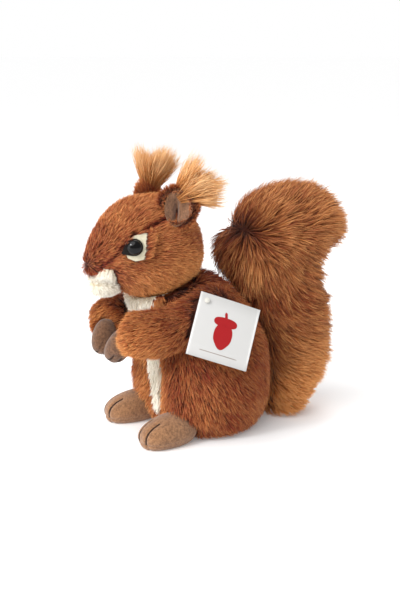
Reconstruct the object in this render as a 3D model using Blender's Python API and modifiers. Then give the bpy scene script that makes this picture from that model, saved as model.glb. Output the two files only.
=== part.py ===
"""A seated plush squirrel, 16 cm tall, that holds its hands together.

It faces -Y and its left side is +X. The floor is Z = 0 and the origin is the middle of
the flat underside. The stuffed shapes stand for the outer surface of the fur.
"""

from math import cos, exp, pi, radians, sin

import bmesh
import bpy
from mathutils import Matrix, Vector
from mathutils.bvhtree import BVHTree

# Fits
CLEARANCE = 0.0003  # between pieces that touch
SEAM_DEPTH = 0.0030  # of the belly panel's fabric and fur, set flush in the torso
FELT = 0.0009  # thickness of the felt around the eyes

# Torso with its haunches
TORSO_HEIGHT = 0.0985
TORSO_WIDTH = 0.0900
TORSO_DEPTH = 0.0800
TORSO_BACK_SHIFT = 0.0045  # the middle of the seat, behind the origin

# Head
HEAD_LENGTH = 0.0750
HEAD_WIDTH = 0.0540
HEAD_HEIGHT = 0.0570
HEAD_BOTTOM = 0.0825
HEAD_MIDDLE_Y = -0.0360
NOSE_REACH = 0.0085  # the furry tip, in front of the face

MUZZLE_WIDTH = 0.0190
MUZZLE_LENGTH = 0.0190
MUZZLE_HEIGHT = 0.0160
MUZZLE_DROP = 0.0090  # the muzzle's middle, above the lowest point of the head
MUZZLE_INSET = 0.0150  # from the front of the face to the muzzle's middle

# Ears
EAR_WIDTH = 0.0250
EAR_HEIGHT = 0.0260
EAR_THICKNESS = 0.0110
EAR_SPREAD = 0.0400  # between the middles of the two ears
EAR_Y = -0.0245
EAR_DROP = 0.0065  # the ear's middle, below the crown
LINING_THICKNESS = 0.0015
LINING_MARGIN = 0.0052  # the rim of fur around the lining
TUFT_LENGTH = 0.0240
TUFT_WIDTH = 0.0300
TUFT_ROOT = 0.0110
TUFT_THICKNESS = 0.0230
TUFT_LEANS = {1: 0.36, -1: -0.40}  # how far back each side's tuft leans

# Eyes
EYE_DIAMETER = 0.0080
EYE_BULGE = 0.0030
EYE_RIM = 0.0006
SHANK_DIAMETER = 0.0028
SHANK_LENGTH = 0.0110
WASHER_DIAMETER = 0.0120
WASHER_THICKNESS = 0.0012
WASHER_DEPTH = 0.0080  # from the eye's back to the washer
EYE_RISE = 0.0310  # above the lowest point of the head
EYE_BACK = 0.0216  # behind the front of the face
EYE_SLOPE = 0.22  # how far the eyes look forwards, for each unit sideways
PATCH_LENGTH = 0.0150
PATCH_HEIGHT = 0.0140
BACKING_MARGIN = 0.0007  # black felt that shows around the eye
BACKING_CORNER = 0.0032  # and its point towards the nose

# Arms and hands
ARM_LENGTH = 0.0640
SLEEVE_RADIUS = 0.0140
SLEEVE_END_RADIUS = 0.0128
SHOULDER_RISE = 0.0810
HAND_LENGTH = 0.0215
HAND_WIDTH = 0.0150
HAND_THICKNESS = 0.0130
HAND_RISE = 0.0570
HAND_Y = -0.0560
HAND_SPREAD = 0.0210  # between the middles of the two hands
HAND_GAP = 0.0010  # between the two hands
FINGER_GROOVE = 0.0014
FINGER_GROOVE_DEPTH = 0.0013
THREAD = 0.0008

# Feet
FOOT_LENGTH = 0.0350
FOOT_WIDTH = 0.0230
FOOT_HEIGHT = 0.0190
FOOT_SPACING = 0.0480
FOOT_REACH = 0.0510  # the toes, in front of the origin
TOE_OUT = radians(4)

# Belly panel
PANEL_WIDTH = 0.0350
PANEL_TIP_WIDTH = 0.0060
PANEL_BOTTOM = 0.0120

# Tail
TAIL_HEIGHT = 0.1400
TAIL_THICKNESS = 0.0500
TAIL_PLUME = 0.0690  # front to back, where it is broadest
TAIL_DEPTH = 0.0970  # the curl's end, behind the origin

# Swing tag
TAG_SIDE = 0.0350
TAG_PLY = 0.0004
TAG_PLY_GAP = 0.0004
TAG_HOLE = 0.0022
TAG_HOLE_EDGE = 0.0040
TAG_RISE = 0.0640
TAG_Y = -0.0085
TAG_TURN = radians(-22)
TAG_LEAN = radians(20)
TAG_YAW = radians(-7)
TAG_MARGIN = 0.0040  # past its edges, where the card still keeps clear of the fur
PIN_DIAMETER = 0.0010
PIN_HEAD = 0.0030
PIN_HEAD_THICKNESS = 0.0008
PIN_LENGTH = 0.0070

FUR = (0.23, 0.065, 0.022)
TAIL_FUR = (0.38, 0.13, 0.035)
TUFT_FUR = (0.55, 0.25, 0.07)
CREAM = (0.80, 0.74, 0.60)
VELOUR = (0.24, 0.15, 0.08)
BLACK = (0.01, 0.01, 0.012)
WHITE = (0.85, 0.85, 0.83)
NYLON = (0.75, 0.75, 0.72)


def clear_scene():
    """Removes every object, so that the file holds only this model."""
    for thing in list(bpy.data.objects):
        bpy.data.objects.remove(thing)


def collection(name):
    """A new collection, linked to the scene."""
    made = bpy.data.collections.new(name)
    bpy.context.scene.collection.children.link(made)
    return made


def material(name, colour, roughness):
    """A Principled material of one colour."""
    made = bpy.data.materials.new(name)
    made.use_nodes = True
    shader = made.node_tree.nodes["Principled BSDF"]
    shader.inputs["Base Color"].default_value = (*colour, 1.0)
    shader.inputs["Roughness"].default_value = roughness
    shader.inputs["Metallic"].default_value = 0.0
    return made


def box(size):
    """The mesh of a box around the origin."""
    mesh = bpy.data.meshes.new("box")
    work = bmesh.new()
    bmesh.ops.create_cube(work, size=1.0)
    bmesh.ops.scale(work, vec=size, verts=work.verts)
    work.to_mesh(mesh)
    work.free()
    return mesh


def cylinder(radius, depth):
    """A round bar or disc along Z, around its own middle."""
    mesh = bpy.data.meshes.new("cylinder")
    work = bmesh.new()
    bmesh.ops.create_cone(
        work, cap_ends=True, segments=12, radius1=radius, radius2=radius, depth=depth
    )
    work.to_mesh(mesh)
    work.free()
    return mesh


class Workshop:
    """Keeps the two collections, and makes, cuts and seats the pieces."""

    def __init__(self):
        self.parts = collection("plush_squirrel")
        self.tools = collection("cutters")
        self.root = bpy.data.objects.new("squirrel", None)
        self.parts.objects.link(self.root)
        wide = 4 * TORSO_WIDTH
        self.floor = self.slab("floor", (wide, wide, wide), Matrix.Translation((0, 0, -wide / 2)))

    def piece(self, name, mesh, look=None, matrix=None):
        """A visible part with its material, parented to the squirrel."""
        made = bpy.data.objects.new(name, mesh)
        if look is not None:
            made.data.materials.clear()
            made.data.materials.append(look)
        self.parts.objects.link(made)
        if matrix is not None:
            made.matrix_world = matrix
        made.parent = self.root
        return made

    def tool(self, name, mesh, matrix=None):
        """A shape that only cuts."""
        made = bpy.data.objects.new(name, mesh)
        made.hide_render = True
        made.display_type = "WIRE"
        self.tools.objects.link(made)
        if matrix is not None:
            made.matrix_world = matrix
        return made

    def grown(self, source, by, name=None):
        """A cutter that is the source's own shape, grown by a distance."""
        made = self.tool(name or f"{source.name}_grown", source.data.copy())
        made.matrix_world = source.matrix_world.copy()
        move = made.modifiers.new("grow", "DISPLACE")
        move.mid_level = 0.0
        move.strength = by
        return made

    def cut(self, piece, cutter, operation="DIFFERENCE"):
        """A live Boolean with one cutter."""
        step = piece.modifiers.new(operation.lower(), "BOOLEAN")
        step.operation = operation
        step.object = cutter

    def seat(self, piece, *neighbours):
        """Takes each neighbour's shape, with the clearance, out of a piece."""
        for neighbour in neighbours:
            self.cut(piece, self.grown(neighbour, CLEARANCE))

    def slab(self, name, size, matrix):
        """A box-shaped cutter."""
        return self.tool(name, box(size), matrix)

    def rod(self, name, radius, depth, matrix):
        """A round cutter along Z."""
        return self.tool(name, cylinder(radius, depth), matrix)


def loft(rings, levels=1):
    """A closed soft form: rings of points, a pole at each end, then subdivision."""
    work = bmesh.new()
    rows = [[work.verts.new(point) for point in ring] for ring in rings]
    for row, following in zip(rows, rows[1:]):
        for i, corner in enumerate(row):
            j = (i + 1) % len(row)
            work.faces.new((corner, row[j], following[j], following[i]))
    for row, ring in ((rows[0], rings[0]), (rows[-1], rings[-1])):
        pole = work.verts.new(sum((Vector(p) for p in ring), Vector()) / len(ring))
        for i, corner in enumerate(row):
            work.faces.new((corner, pole, row[(i + 1) % len(row)]))
    bmesh.ops.recalc_face_normals(work, faces=work.faces)
    mesh = bpy.data.meshes.new("cage")
    work.to_mesh(mesh)
    work.free()
    cage = bpy.data.objects.new("cage", mesh)
    bpy.context.scene.collection.objects.link(cage)
    smooth = cage.modifiers.new("smooth", "SUBSURF")
    smooth.levels = smooth.render_levels = levels
    graph = bpy.context.evaluated_depsgraph_get()
    form = bpy.data.meshes.new_from_object(cage.evaluated_get(graph))
    bpy.data.objects.remove(cage)
    work = bmesh.new()
    work.from_mesh(form)
    bmesh.ops.triangulate(work, faces=work.faces)
    work.to_mesh(form)
    work.free()
    form.shade_smooth()
    return form


def oval(centre, across, along, sides):
    """A ring of cage points around a centre, wide enough to smooth to its two radii.

    across and along are the half axes as vectors.
    """
    spread = 3.0 / (2.0 + cos(2 * pi / sides))
    ring = []
    for i in range(sides):
        angle = 2 * pi * (i + 0.5) / sides
        ring.append(
            Vector(centre)
            + Vector(across) * sin(angle) * spread
            + Vector(along) * cos(angle) * spread
        )
    return ring


def frame(origin, forward, up):
    """The matrix whose Y looks forward, with Z as near up as it can be."""
    y = Vector(forward).normalized()
    x = y.cross(Vector(up)).normalized()
    z = x.cross(y)
    turn = Matrix((x, y, z)).transposed().to_4x4()
    return Matrix.Translation(Vector(origin)) @ turn


def mirrored(point, side):
    """A point or direction, on the left (side 1) or the right (side -1)."""
    return Vector((point[0] * side, point[1], point[2]))


def torso_form():
    """The seat, haunches, chest and shoulders, as level rings from the seat up.

    Each ring gives its height, its middle, half width and half depth as shares of the
    torso's sizes, and how far the haunches swell beside the belly.
    """
    table = (
        (-0.040, 0.00, 0.26, 0.26, 0.00),
        (0.000, -0.01, 0.37, 0.40, 0.04),
        (0.110, -0.03, 0.455, 0.495, 0.09),
        (0.290, -0.025, 0.495, 0.510, 0.11),
        (0.470, -0.01, 0.475, 0.490, 0.07),
        (0.650, -0.07, 0.415, 0.465, 0.02),
        (0.800, -0.17, 0.340, 0.430, 0.00),
        (0.950, -0.25, 0.215, 0.320, 0.00),
    )
    quarter = (0, 22, 48, 88, 134)
    turns = [radians(a) for a in quarter + (180,)] + [radians(360 - a) for a in quarter[:0:-1]]
    rings = []
    for rise, shift, wide, deep, swell in table:
        ring = []
        for turn in turns:
            off = min(turn, 2 * pi - turn) / radians(22)
            factor = 1.06 - 4.4 * swell * exp(-3 * off * off) + 1.2 * swell * exp(-((off - 2.2) ** 2))
            x = wide * TORSO_WIDTH * sin(turn) * factor
            y = TORSO_BACK_SHIFT + (shift - deep * cos(turn) * factor) * TORSO_DEPTH
            ring.append((x, y, rise * TORSO_HEIGHT))
        rings.append(ring)
    return loft(rings)


def head_form():
    """The skull and face, as level rings from the jaw up, pointed towards the nose.

    Each ring gives its height, how far it reaches forwards and back from the middle,
    its half width, how much its front narrows and how far the nose tip stands out.
    """
    table = (
        (0.000, 0.12, 0.14, 0.18, 0.00, 0.0),
        (0.070, 0.21, 0.28, 0.36, 0.05, 0.0),
        (0.160, 0.28, 0.40, 0.45, 0.15, 0.0),
        (0.240, 0.41, 0.45, 0.480, 0.40, 1.0),
        (0.340, 0.455, 0.48, 0.495, 0.40, 0.6),
        (0.500, 0.460, 0.480, 0.495, 0.28, 0.0),
        (0.700, 0.385, 0.425, 0.440, 0.12, 0.0),
        (0.850, 0.275, 0.345, 0.350, 0.05, 0.0),
        (0.975, 0.130, 0.190, 0.180, 0.00, 0.0),
    )
    sides = 10
    spread = 3.0 / (2.0 + cos(2 * pi / sides))
    rings = []
    for rise, front, back, wide, point, tip in table:
        ring = []
        middle = HEAD_MIDDLE_Y + HEAD_LENGTH * (back - front) / 2
        deep = HEAD_LENGTH * (back + front) / 2
        for i in range(sides):
            angle = 2 * pi * i / sides
            ahead = max(0.0, cos(angle))
            x = wide * HEAD_WIDTH * spread * sin(angle) * (1 - point * ahead**1.5)
            y = middle - deep * spread * cos(angle) - tip * NOSE_REACH * ahead**10
            ring.append((x, y, HEAD_BOTTOM + rise * HEAD_HEIGHT))
        rings.append(ring)
    return loft(rings)


def tail_form():
    """The bushy tail, as ribs from the seat up and over to the curled end.

    Each rib joins a point of the front edge to one of the back edge, as shares of the
    tail's reach and height, and has its own thickness.
    """
    table = (
        ((0.42, -0.020), (0.62, -0.035), 0.34),
        ((0.36, 0.040), (0.735, 0.040), 0.50),
        ((0.36, 0.170), (0.835, 0.150), 0.50),
        ((0.38, 0.300), (0.875, 0.280), 0.48),
        ((0.37, 0.430), (0.870, 0.415), 0.50),
        ((0.31, 0.560), (0.825, 0.555), 0.50),
        ((0.15, 0.665), (0.800, 0.635), 0.50),
        ((0.08, 0.765), (0.815, 0.680), 0.50),
        ((0.22, 0.880), (0.860, 0.700), 0.50),
        ((0.42, 0.975), (0.915, 0.715), 0.46),
        ((0.66, 1.000), (0.965, 0.745), 0.38),
        ((0.84, 0.955), (0.990, 0.800), 0.22),
    )
    rings = []
    for (front_y, front_z), (back_y, back_z), thick in table:
        front = Vector((0, front_y * TAIL_DEPTH, front_z * TAIL_HEIGHT))
        back = Vector((0, back_y * TAIL_DEPTH, back_z * TAIL_HEIGHT))
        half = (front - back) / 2
        longest = TAIL_PLUME / 2
        if half.length > longest:
            half = half.normalized() * longest
            front = back + 2 * half
        across = Vector((thick * TAIL_THICKNESS, 0, 0))
        rings.append(oval((front + back) / 2, across, half, 8))
    return loft(rings)


def arm_form(side):
    """A fat sleeve from inside the shoulder, forwards and inwards to the wrist."""
    out = TORSO_WIDTH / 2
    path = (
        (0.46 * out, 0.04, 1.00, 0.76),
        (0.61 * out, -0.19, 0.94, 0.98),
        (0.60 * out, -0.50, 0.81, 1.03),
        (0.43 * out, -0.75, 0.79, 1.00),
        (0.28 * out, -0.84, 0.81, 1.00),
    )
    points = [
        mirrored((x, y * ARM_LENGTH, z * SHOULDER_RISE), side) for x, y, z, _ in path
    ]
    rings = []
    for i, (point, row) in enumerate(zip(points, path)):
        ahead = points[min(i + 1, len(points) - 1)] - points[max(i - 1, 0)]
        across = ahead.cross(Vector((0, 0, 1))).normalized()
        up = across.cross(ahead).normalized()
        last = i == len(points) - 1
        radius = row[3] * (SLEEVE_END_RADIUS if last else SLEEVE_RADIUS)
        rings.append(oval(point, across * radius, up * radius, 8))
    return loft(rings)


def hand_frame(side):
    """The hand's place: its Y runs from the wrist to the fingertips."""
    middle = (HAND_SPREAD / 2, HAND_Y, HAND_RISE)
    forward = mirrored((-0.33, -0.38, -0.86), side)
    return frame(mirrored(middle, side), forward, mirrored((1, 0, 0), side))


def mitten_form(length, width, thickness, table, sides=8):
    """A paw along +Y: each ring gives its place, half width, half height and rise."""
    rings = []
    for along, wide, high, rise in table:
        centre = (0, (along - 0.5) * length, rise * thickness)
        rings.append(oval(centre, (wide * width, 0, 0), (0, 0, high * thickness), sides))
    return loft(rings)


def foot_frame(side):
    """The foot's place: its Y runs from the heel to the toes, Z = 0 is the floor."""
    heel = (FOOT_SPACING / 2, -FOOT_REACH + FOOT_LENGTH / 2, 0)
    forward = mirrored((sin(TOE_OUT), -cos(TOE_OUT), 0), side)
    return frame(mirrored(heel, side), forward, (0, 0, 1))


def ear_frame(side):
    """The ear's place: its Y looks out of the cup, Z runs up to the tuft."""
    crown = HEAD_BOTTOM + HEAD_HEIGHT
    middle = mirrored((EAR_SPREAD / 2, EAR_Y, crown - EAR_DROP), side)
    return frame(middle, mirrored((0.80, -0.56, 0.10), side), mirrored((0.22, 0.16, 0.96), side))


def disc_form(width, height, thickness, sides=8):
    """A plump disc that faces +Y, as rings from its back to its front."""
    table = ((-0.48, 0.55), (0.0, 1.04), (0.48, 0.55))
    rings = []
    for along, size in table:
        centre = (0, along * thickness, 0)
        rings.append(
            oval(centre, (size * width / 2, 0, 0), (0, 0, size * height / 2), sides)
        )
    return loft(rings)


def tuft_form():
    """A fan of long hair, narrow at its root and broad at its tips, along +Z."""
    table = ((0.0, 0.36, 0.40), (0.30, 0.62, 0.75), (0.78, 1.0, 1.0), (1.0, 0.75, 0.65))
    root = TUFT_ROOT / TUFT_WIDTH
    rings = []
    for rise, wide, thick in table:
        wide = max(root, wide)
        rings.append(
            oval(
                (0, 0, rise * TUFT_LENGTH),
                (wide * TUFT_WIDTH / 2, 0, 0),
                (0, thick * TUFT_THICKNESS / 2, 0),
                6,
            )
        )
    return loft(rings)


def turned(profile, sides=12):
    """A turned solid around Z, from a profile of radius and height that ends on the axis."""
    mesh = bpy.data.meshes.new("profile")
    steps = [(i, i + 1) for i in range(len(profile) - 1)]
    mesh.from_pydata([(r, 0, z) for r, z in profile], steps, [])
    line = bpy.data.objects.new("profile", mesh)
    bpy.context.scene.collection.objects.link(line)
    spin = line.modifiers.new("turn", "SCREW")
    spin.steps = spin.render_steps = sides
    spin.use_merge_vertices = True
    spin.merge_threshold = 0.00001
    spin.use_normal_calculate = True
    graph = bpy.context.evaluated_depsgraph_get()
    form = bpy.data.meshes.new_from_object(line.evaluated_get(graph))
    bpy.data.objects.remove(line)
    work = bmesh.new()
    work.from_mesh(form)
    bmesh.ops.remove_doubles(work, verts=work.verts, dist=0.000005)
    bmesh.ops.recalc_face_normals(work, faces=work.faces)
    work.to_mesh(form)
    work.free()
    form.shade_smooth()
    form.set_sharp_from_angle(angle=radians(40))
    return form


def prism(outline, depth):
    """A straight-sided cutter: an outline in X and Z, pushed along Y from 0 to depth."""
    work = bmesh.new()
    face = work.faces.new([work.verts.new((x, 0, z)) for x, z in outline])
    pushed = bmesh.ops.extrude_face_region(work, geom=[face])
    moved = [v for v in pushed["geom"] if isinstance(v, bmesh.types.BMVert)]
    bmesh.ops.translate(work, vec=(0, depth, 0), verts=moved)
    bmesh.ops.recalc_face_normals(work, faces=work.faces)
    mesh = bpy.data.meshes.new("prism")
    work.to_mesh(mesh)
    work.free()
    return mesh


def surface_point(form, origin, direction):
    """Where a ray from inside a form meets its surface, and the normal there."""
    work = bmesh.new()
    work.from_mesh(form)
    hit, normal, _, _ = BVHTree.FromBMesh(work).ray_cast(Vector(origin), Vector(direction))
    work.free()
    return hit, normal


def shifted(matrix, x=0.0, y=0.0, z=0.0):
    """The same frame, moved along its own axes."""
    return matrix @ Matrix.Translation((x, y, z))


def stitches(shop, piece, name, look, width, length, height, bottom):
    """Two grooves over the end of a paw, each with a thread along its floor."""
    matrix = piece.matrix_world.copy()
    reach = length * 0.36
    middle_y = length / 2 - reach / 2 + length * 0.06
    middle_z = bottom + height / 2
    floor = -FINGER_GROOVE_DEPTH + CLEARANCE
    for number, sign in ((1, -1), (2, 1)):
        at = shifted(matrix, sign * width / 6, middle_y, middle_z)
        groove = shop.slab(f"{name}_groove_{number}", (FINGER_GROOVE, reach, height), at)
        shop.cut(groove, shop.grown(piece, -FINGER_GROOVE_DEPTH))
        thread = shop.piece(f"{name}_{number}", box((THREAD, reach, height)), look, at)
        shop.cut(thread, shop.grown(piece, floor + THREAD), "INTERSECT")
        shop.cut(thread, shop.grown(piece, floor))
        shop.cut(piece, groove)


def felt_layer(shop, name, head, look, outline, matrix, floor):
    """A piece of felt that follows the head, cut to an outline around the eye."""
    reach = 0.008
    form = prism(outline, 2 * reach)
    made = shop.piece(name, form, look, shifted(matrix, y=-reach))
    shop.cut(made, shop.grown(head, floor + FELT), "INTERSECT")
    shop.cut(made, shop.grown(head, floor))
    return made


def eye(shop, head, side, suffix, looks):
    """The eye, its felt and its washer, on the side of the face."""
    face = HEAD_MIDDLE_Y - HEAD_LENGTH / 2
    origin = Vector((0, face + EYE_BACK + EYE_SLOPE * HEAD_WIDTH / 2, HEAD_BOTTOM + EYE_RISE))
    place, normal = surface_point(head.data, origin, mirrored((1, -EYE_SLOPE, 0), side))
    matrix = frame(place, normal, (0, 0, 1))
    radius = EYE_DIAMETER / 2
    patch = [
        (0.04, 0.42), (-0.30, 0.54), (-0.58, 0.54), (-0.60, 0.15), (-0.52, -0.22),
        (-0.40, -0.46), (-0.04, -0.54), (0.24, -0.42), (0.36, -0.12), (0.30, 0.20),
    ]
    patch = [(x * PATCH_LENGTH * side, z * PATCH_HEIGHT) for x, z in patch]
    edge = radius + BACKING_MARGIN
    corner = -2 * pi / 14
    backing = []
    for i in range(14):
        angle = 2 * pi * i / 14
        ahead = max(0.0, cos(angle - corner))
        reach = edge + BACKING_CORNER * ahead**14
        backing.append((reach * cos(angle) * side, reach * sin(angle)))
    cream = felt_layer(
        shop, f"eye_patch_{suffix}", head, looks["felt_cream"], patch, matrix, CLEARANCE
    )
    black_floor = 2 * CLEARANCE + FELT
    black = felt_layer(
        shop, f"eye_backing_{suffix}", head, looks["felt_black"], backing, matrix, black_floor
    )
    back = black_floor + FELT + CLEARANCE
    shank = SHANK_DIAMETER / 2
    profile = [(0, -SHANK_LENGTH), (shank, -SHANK_LENGTH), (shank, 0)]
    profile += [(radius - EYE_RIM, 0), (radius, EYE_RIM)]
    for i in range(1, 5):
        angle = pi / 2 * i / 4
        profile.append((radius * cos(angle), EYE_RIM + (EYE_BULGE - EYE_RIM) * sin(angle)))
    profile[-1] = (0, EYE_BULGE)
    outward = matrix @ Matrix.Rotation(-pi / 2, 4, "X")
    made = shop.piece(f"eye_{suffix}", turned(profile), looks["eye"], shifted(outward, z=back))
    hole = shank + CLEARANCE
    rim = WASHER_DIAMETER / 2
    at = shifted(outward, z=back - WASHER_DEPTH)
    ring = cylinder(rim, WASHER_THICKNESS)
    washer = shop.piece(f"eye_washer_{suffix}", ring, looks["washer"], at)
    shop.cut(washer, shop.rod(f"washer_bore_{suffix}", hole, 4 * WASHER_THICKNESS, at))
    for layer in (cream, black):
        shop.seat(layer, made)
    shop.seat(head, made, washer)


def ear(shop, head, side, suffix, looks):
    """An ear: a fur cup, its velour lining and the tuft at its tip."""
    matrix = ear_frame(side)
    cup = shop.piece(
        f"ear_{suffix}", disc_form(EAR_WIDTH, EAR_HEIGHT, EAR_THICKNESS), looks["fur"], matrix
    )
    wide, high = EAR_WIDTH - 2 * LINING_MARGIN, EAR_HEIGHT - 2 * LINING_MARGIN
    hollow = disc_form(wide, high, EAR_THICKNESS * 0.9, 6)
    at = shifted(matrix, y=EAR_THICKNESS * 0.42)
    opening = shop.tool(f"ear_opening_{suffix}", hollow, at)
    lining = shop.piece(f"ear_lining_{suffix}", hollow.copy(), looks["velour"], at)
    thick = lining.modifiers.new("thickness", "DISPLACE")
    thick.mid_level = 0.0
    thick.strength = LINING_THICKNESS
    shop.cut(lining, shop.grown(cup, -CLEARANCE), "INTERSECT")
    shop.cut(lining, opening)
    shop.cut(cup, shop.grown(opening, LINING_THICKNESS + CLEARANCE))
    up = mirrored((0.74, TUFT_LEANS[side], 0.56), side)
    root = matrix @ Vector((0, -EAR_THICKNESS * 0.12, EAR_HEIGHT * 0.22))
    tuft = shop.piece(
        f"ear_tuft_{suffix}",
        tuft_form(),
        looks["tuft"],
        frame(root, mirrored((0.80, -0.56, 0.10), side), up),
    )
    shop.seat(tuft, cup, opening)
    shop.seat(lining, head)
    shop.seat(cup, head)
    shop.seat(tuft, head)
    return cup


def limbs(shop, torso, head, side, suffix, looks):
    """An arm with its hand, and a foot."""
    arm = shop.piece(f"arm_{suffix}", arm_form(side), looks["fur"])
    table = (
        (0.02, 0.26, 0.30, 0.0),
        (0.28, 0.48, 0.50, 0.0),
        (0.72, 0.50, 0.47, 0.0),
        (0.97, 0.28, 0.26, 0.0),
    )
    hand = shop.piece(
        f"hand_{suffix}",
        mitten_form(HAND_LENGTH, HAND_WIDTH, HAND_THICKNESS, table, 6),
        looks["velour"],
        hand_frame(side),
    )
    wide = 2 * HAND_LENGTH
    at = Matrix.Translation((-side * (wide - HAND_GAP) / 2, HAND_Y, HAND_RISE))
    middle = shop.slab(f"middle_{suffix}", (wide, 2 * wide, 2 * wide), at)
    shop.cut(hand, middle)
    shop.seat(hand, torso)
    stitches(
        shop, hand, f"finger_thread_{suffix}", looks["thread"],
        HAND_WIDTH, HAND_LENGTH, HAND_THICKNESS, 0.0,
    )
    shop.seat(arm, torso, head, hand)
    table = (
        (0.02, 0.30, 0.30, 0.36),
        (0.28, 0.49, 0.58, 0.44),
        (0.72, 0.51, 0.49, 0.36),
        (0.97, 0.32, 0.28, 0.28),
    )
    foot = shop.piece(
        f"foot_{suffix}",
        mitten_form(FOOT_LENGTH, FOOT_WIDTH, FOOT_HEIGHT, table),
        looks["velour"],
        foot_frame(side),
    )
    shop.cut(foot, shop.floor)
    stitches(
        shop, foot, f"toe_thread_{suffix}", looks["thread"],
        FOOT_WIDTH, FOOT_LENGTH, FOOT_HEIGHT, 0.004,
    )
    shop.seat(torso, foot)
    return arm


def belly(shop, torso, head, look):
    """The cream panel, set flush in the front of the torso."""
    top = TORSO_HEIGHT * 0.90
    half = PANEL_WIDTH / 2
    tip = PANEL_TIP_WIDTH / 2
    rise = top - PANEL_BOTTOM
    outline = [(tip, 0), (0.42 * half, 0.30 * rise), (0.55 * half, 0.62 * rise)]
    outline += [(half, 0.84 * rise), (half, rise)]
    outline += [(-x, z) for x, z in reversed(outline)]
    at = Matrix.Translation((0, -TORSO_DEPTH, PANEL_BOTTOM))
    depth = TORSO_DEPTH * 0.75
    panel = shop.piece("belly_panel", prism(outline, depth), look, at)
    pocket = shop.tool("panel_pocket", prism(outline, depth), at)
    grow = pocket.modifiers.new("grow", "DISPLACE")
    grow.mid_level = 0.0
    grow.strength = CLEARANCE
    shop.cut(pocket, shop.grown(torso, -SEAM_DEPTH - CLEARANCE))
    shop.cut(panel, shop.grown(torso, 0.0), "INTERSECT")
    shop.cut(panel, shop.grown(torso, -SEAM_DEPTH))
    shop.seat(panel, head)
    shop.cut(torso, pocket)


def tag(shop, torso, arm, looks):
    """The folded card on the left flank, and the pin that holds it."""
    place, _ = surface_point(torso.data, (0, TAG_Y, TAG_RISE), (1, 0, 0))
    normal = Vector((cos(TAG_LEAN) * cos(TAG_YAW), cos(TAG_LEAN) * sin(TAG_YAW), sin(TAG_LEAN)))
    matrix = frame(place, normal, (0, 0, 1)) @ Matrix.Rotation(TAG_TURN, 4, "Y")
    half = TAG_SIDE / 2
    inverse = matrix.inverted()
    lift = 0.0
    for form in (torso.data, arm.data):
        for vertex in form.vertices:
            local = inverse @ vertex.co
            if max(abs(local.x), abs(local.z)) < half + TAG_MARGIN:
                lift = max(lift, local.y)
    matrix = shifted(matrix, y=lift + CLEARANCE)
    inner = TAG_PLY + TAG_PLY_GAP
    total = TAG_PLY + inner
    crease = TAG_PLY - half
    outline = [
        (half, 0), (-half, 0), (-half, total), (half, total),
        (half, inner), (crease, inner), (crease, TAG_PLY), (half, TAG_PLY),
    ]
    upright = shifted(matrix, z=-half) @ Matrix.Rotation(pi / 2, 4, "X")
    outline = [(x, -y) for x, y in outline]
    card = shop.piece("swing_tag", prism(outline, TAG_SIDE), looks["card"], upright)
    corner = half - TAG_HOLE_EDGE
    at = shifted(matrix, x=corner, y=total / 2, z=corner) @ Matrix.Rotation(-pi / 2, 4, "X")
    shop.cut(card, shop.rod("tag_hole", TAG_HOLE / 2, 4 * total, at))
    shank = PIN_DIAMETER / 2
    top = total / 2 + CLEARANCE
    profile = [
        (0, -PIN_LENGTH), (shank, -PIN_LENGTH), (shank, top), (PIN_HEAD / 2, top),
        (PIN_HEAD / 2, top + PIN_HEAD_THICKNESS * 0.6), (0, top + PIN_HEAD_THICKNESS),
    ]
    pin = shop.piece("tag_pin", turned(profile, 12), looks["nylon"], at)
    shop.seat(torso, pin)
    shop.seat(arm, pin)


def build():
    """Models every piece and seats it on its neighbours."""
    clear_scene()
    shop = Workshop()
    looks = {
        "fur": material("red_brown_fur", FUR, 0.9),
        "tail": material("tail_fur", TAIL_FUR, 0.9),
        "tuft": material("tuft_hair", TUFT_FUR, 0.9),
        "cream": material("cream_fur", CREAM, 0.9),
        "velour": material("velour", VELOUR, 0.95),
        "felt_cream": material("cream_felt", CREAM, 0.95),
        "felt_black": material("black_felt", BLACK, 0.95),
        "eye": material("eye_plastic", BLACK, 0.08),
        "washer": material("washer_plastic", WHITE, 0.5),
        "thread": material("thread", VELOUR, 0.8),
        "card": material("card", WHITE, 0.5),
        "nylon": material("nylon", NYLON, 0.4),
    }
    torso = shop.piece("torso", torso_form(), looks["fur"])
    head = shop.piece("head", head_form(), looks["fur"])
    shop.cut(torso, shop.floor)
    shop.seat(torso, head)
    belly(shop, torso, head, looks["cream"])
    arms = {}
    for side, suffix in ((1, "left"), (-1, "right")):
        arms[side] = limbs(shop, torso, head, side, suffix, looks)
        ear(shop, head, side, suffix, looks)
        eye(shop, head, side, suffix, looks)
    table = (
        (0.00, 0.20, 0.22, 0.0),
        (0.18, 0.40, 0.42, 0.0),
        (0.50, 0.50, 0.50, 0.0),
        (0.82, 0.40, 0.42, 0.0),
        (1.00, 0.20, 0.22, 0.0),
    )
    middle = (0, HEAD_MIDDLE_Y - HEAD_LENGTH / 2 + MUZZLE_INSET, HEAD_BOTTOM + MUZZLE_DROP)
    muzzle = shop.piece(
        "muzzle",
        mitten_form(MUZZLE_LENGTH, MUZZLE_WIDTH, MUZZLE_HEIGHT, table),
        looks["cream"],
        frame(middle, (0, -1, -0.15), (0, 0, 1)),
    )
    shop.seat(muzzle, head)
    tail = shop.piece("tail", tail_form(), looks["tail"])
    shop.cut(tail, shop.floor)
    shop.seat(tail, torso)
    tag(shop, torso, arms[1], looks)


build()
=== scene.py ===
"""Dresses the seated plush squirrel: fur coats, velour paws, felt, eyes and swing tag.

The toy faces -Y, its left side is +X and the floor is Z = 0, in metres, as in the CAD part.
"""

import logging
from dataclasses import dataclass, field, replace
from enum import Enum
from math import cos, pi, radians, sin
from typing import Callable, Sequence

import bmesh
import bpy
import numpy as np
from mathutils import Matrix, Vector
from mathutils.bvhtree import BVHTree


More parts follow.
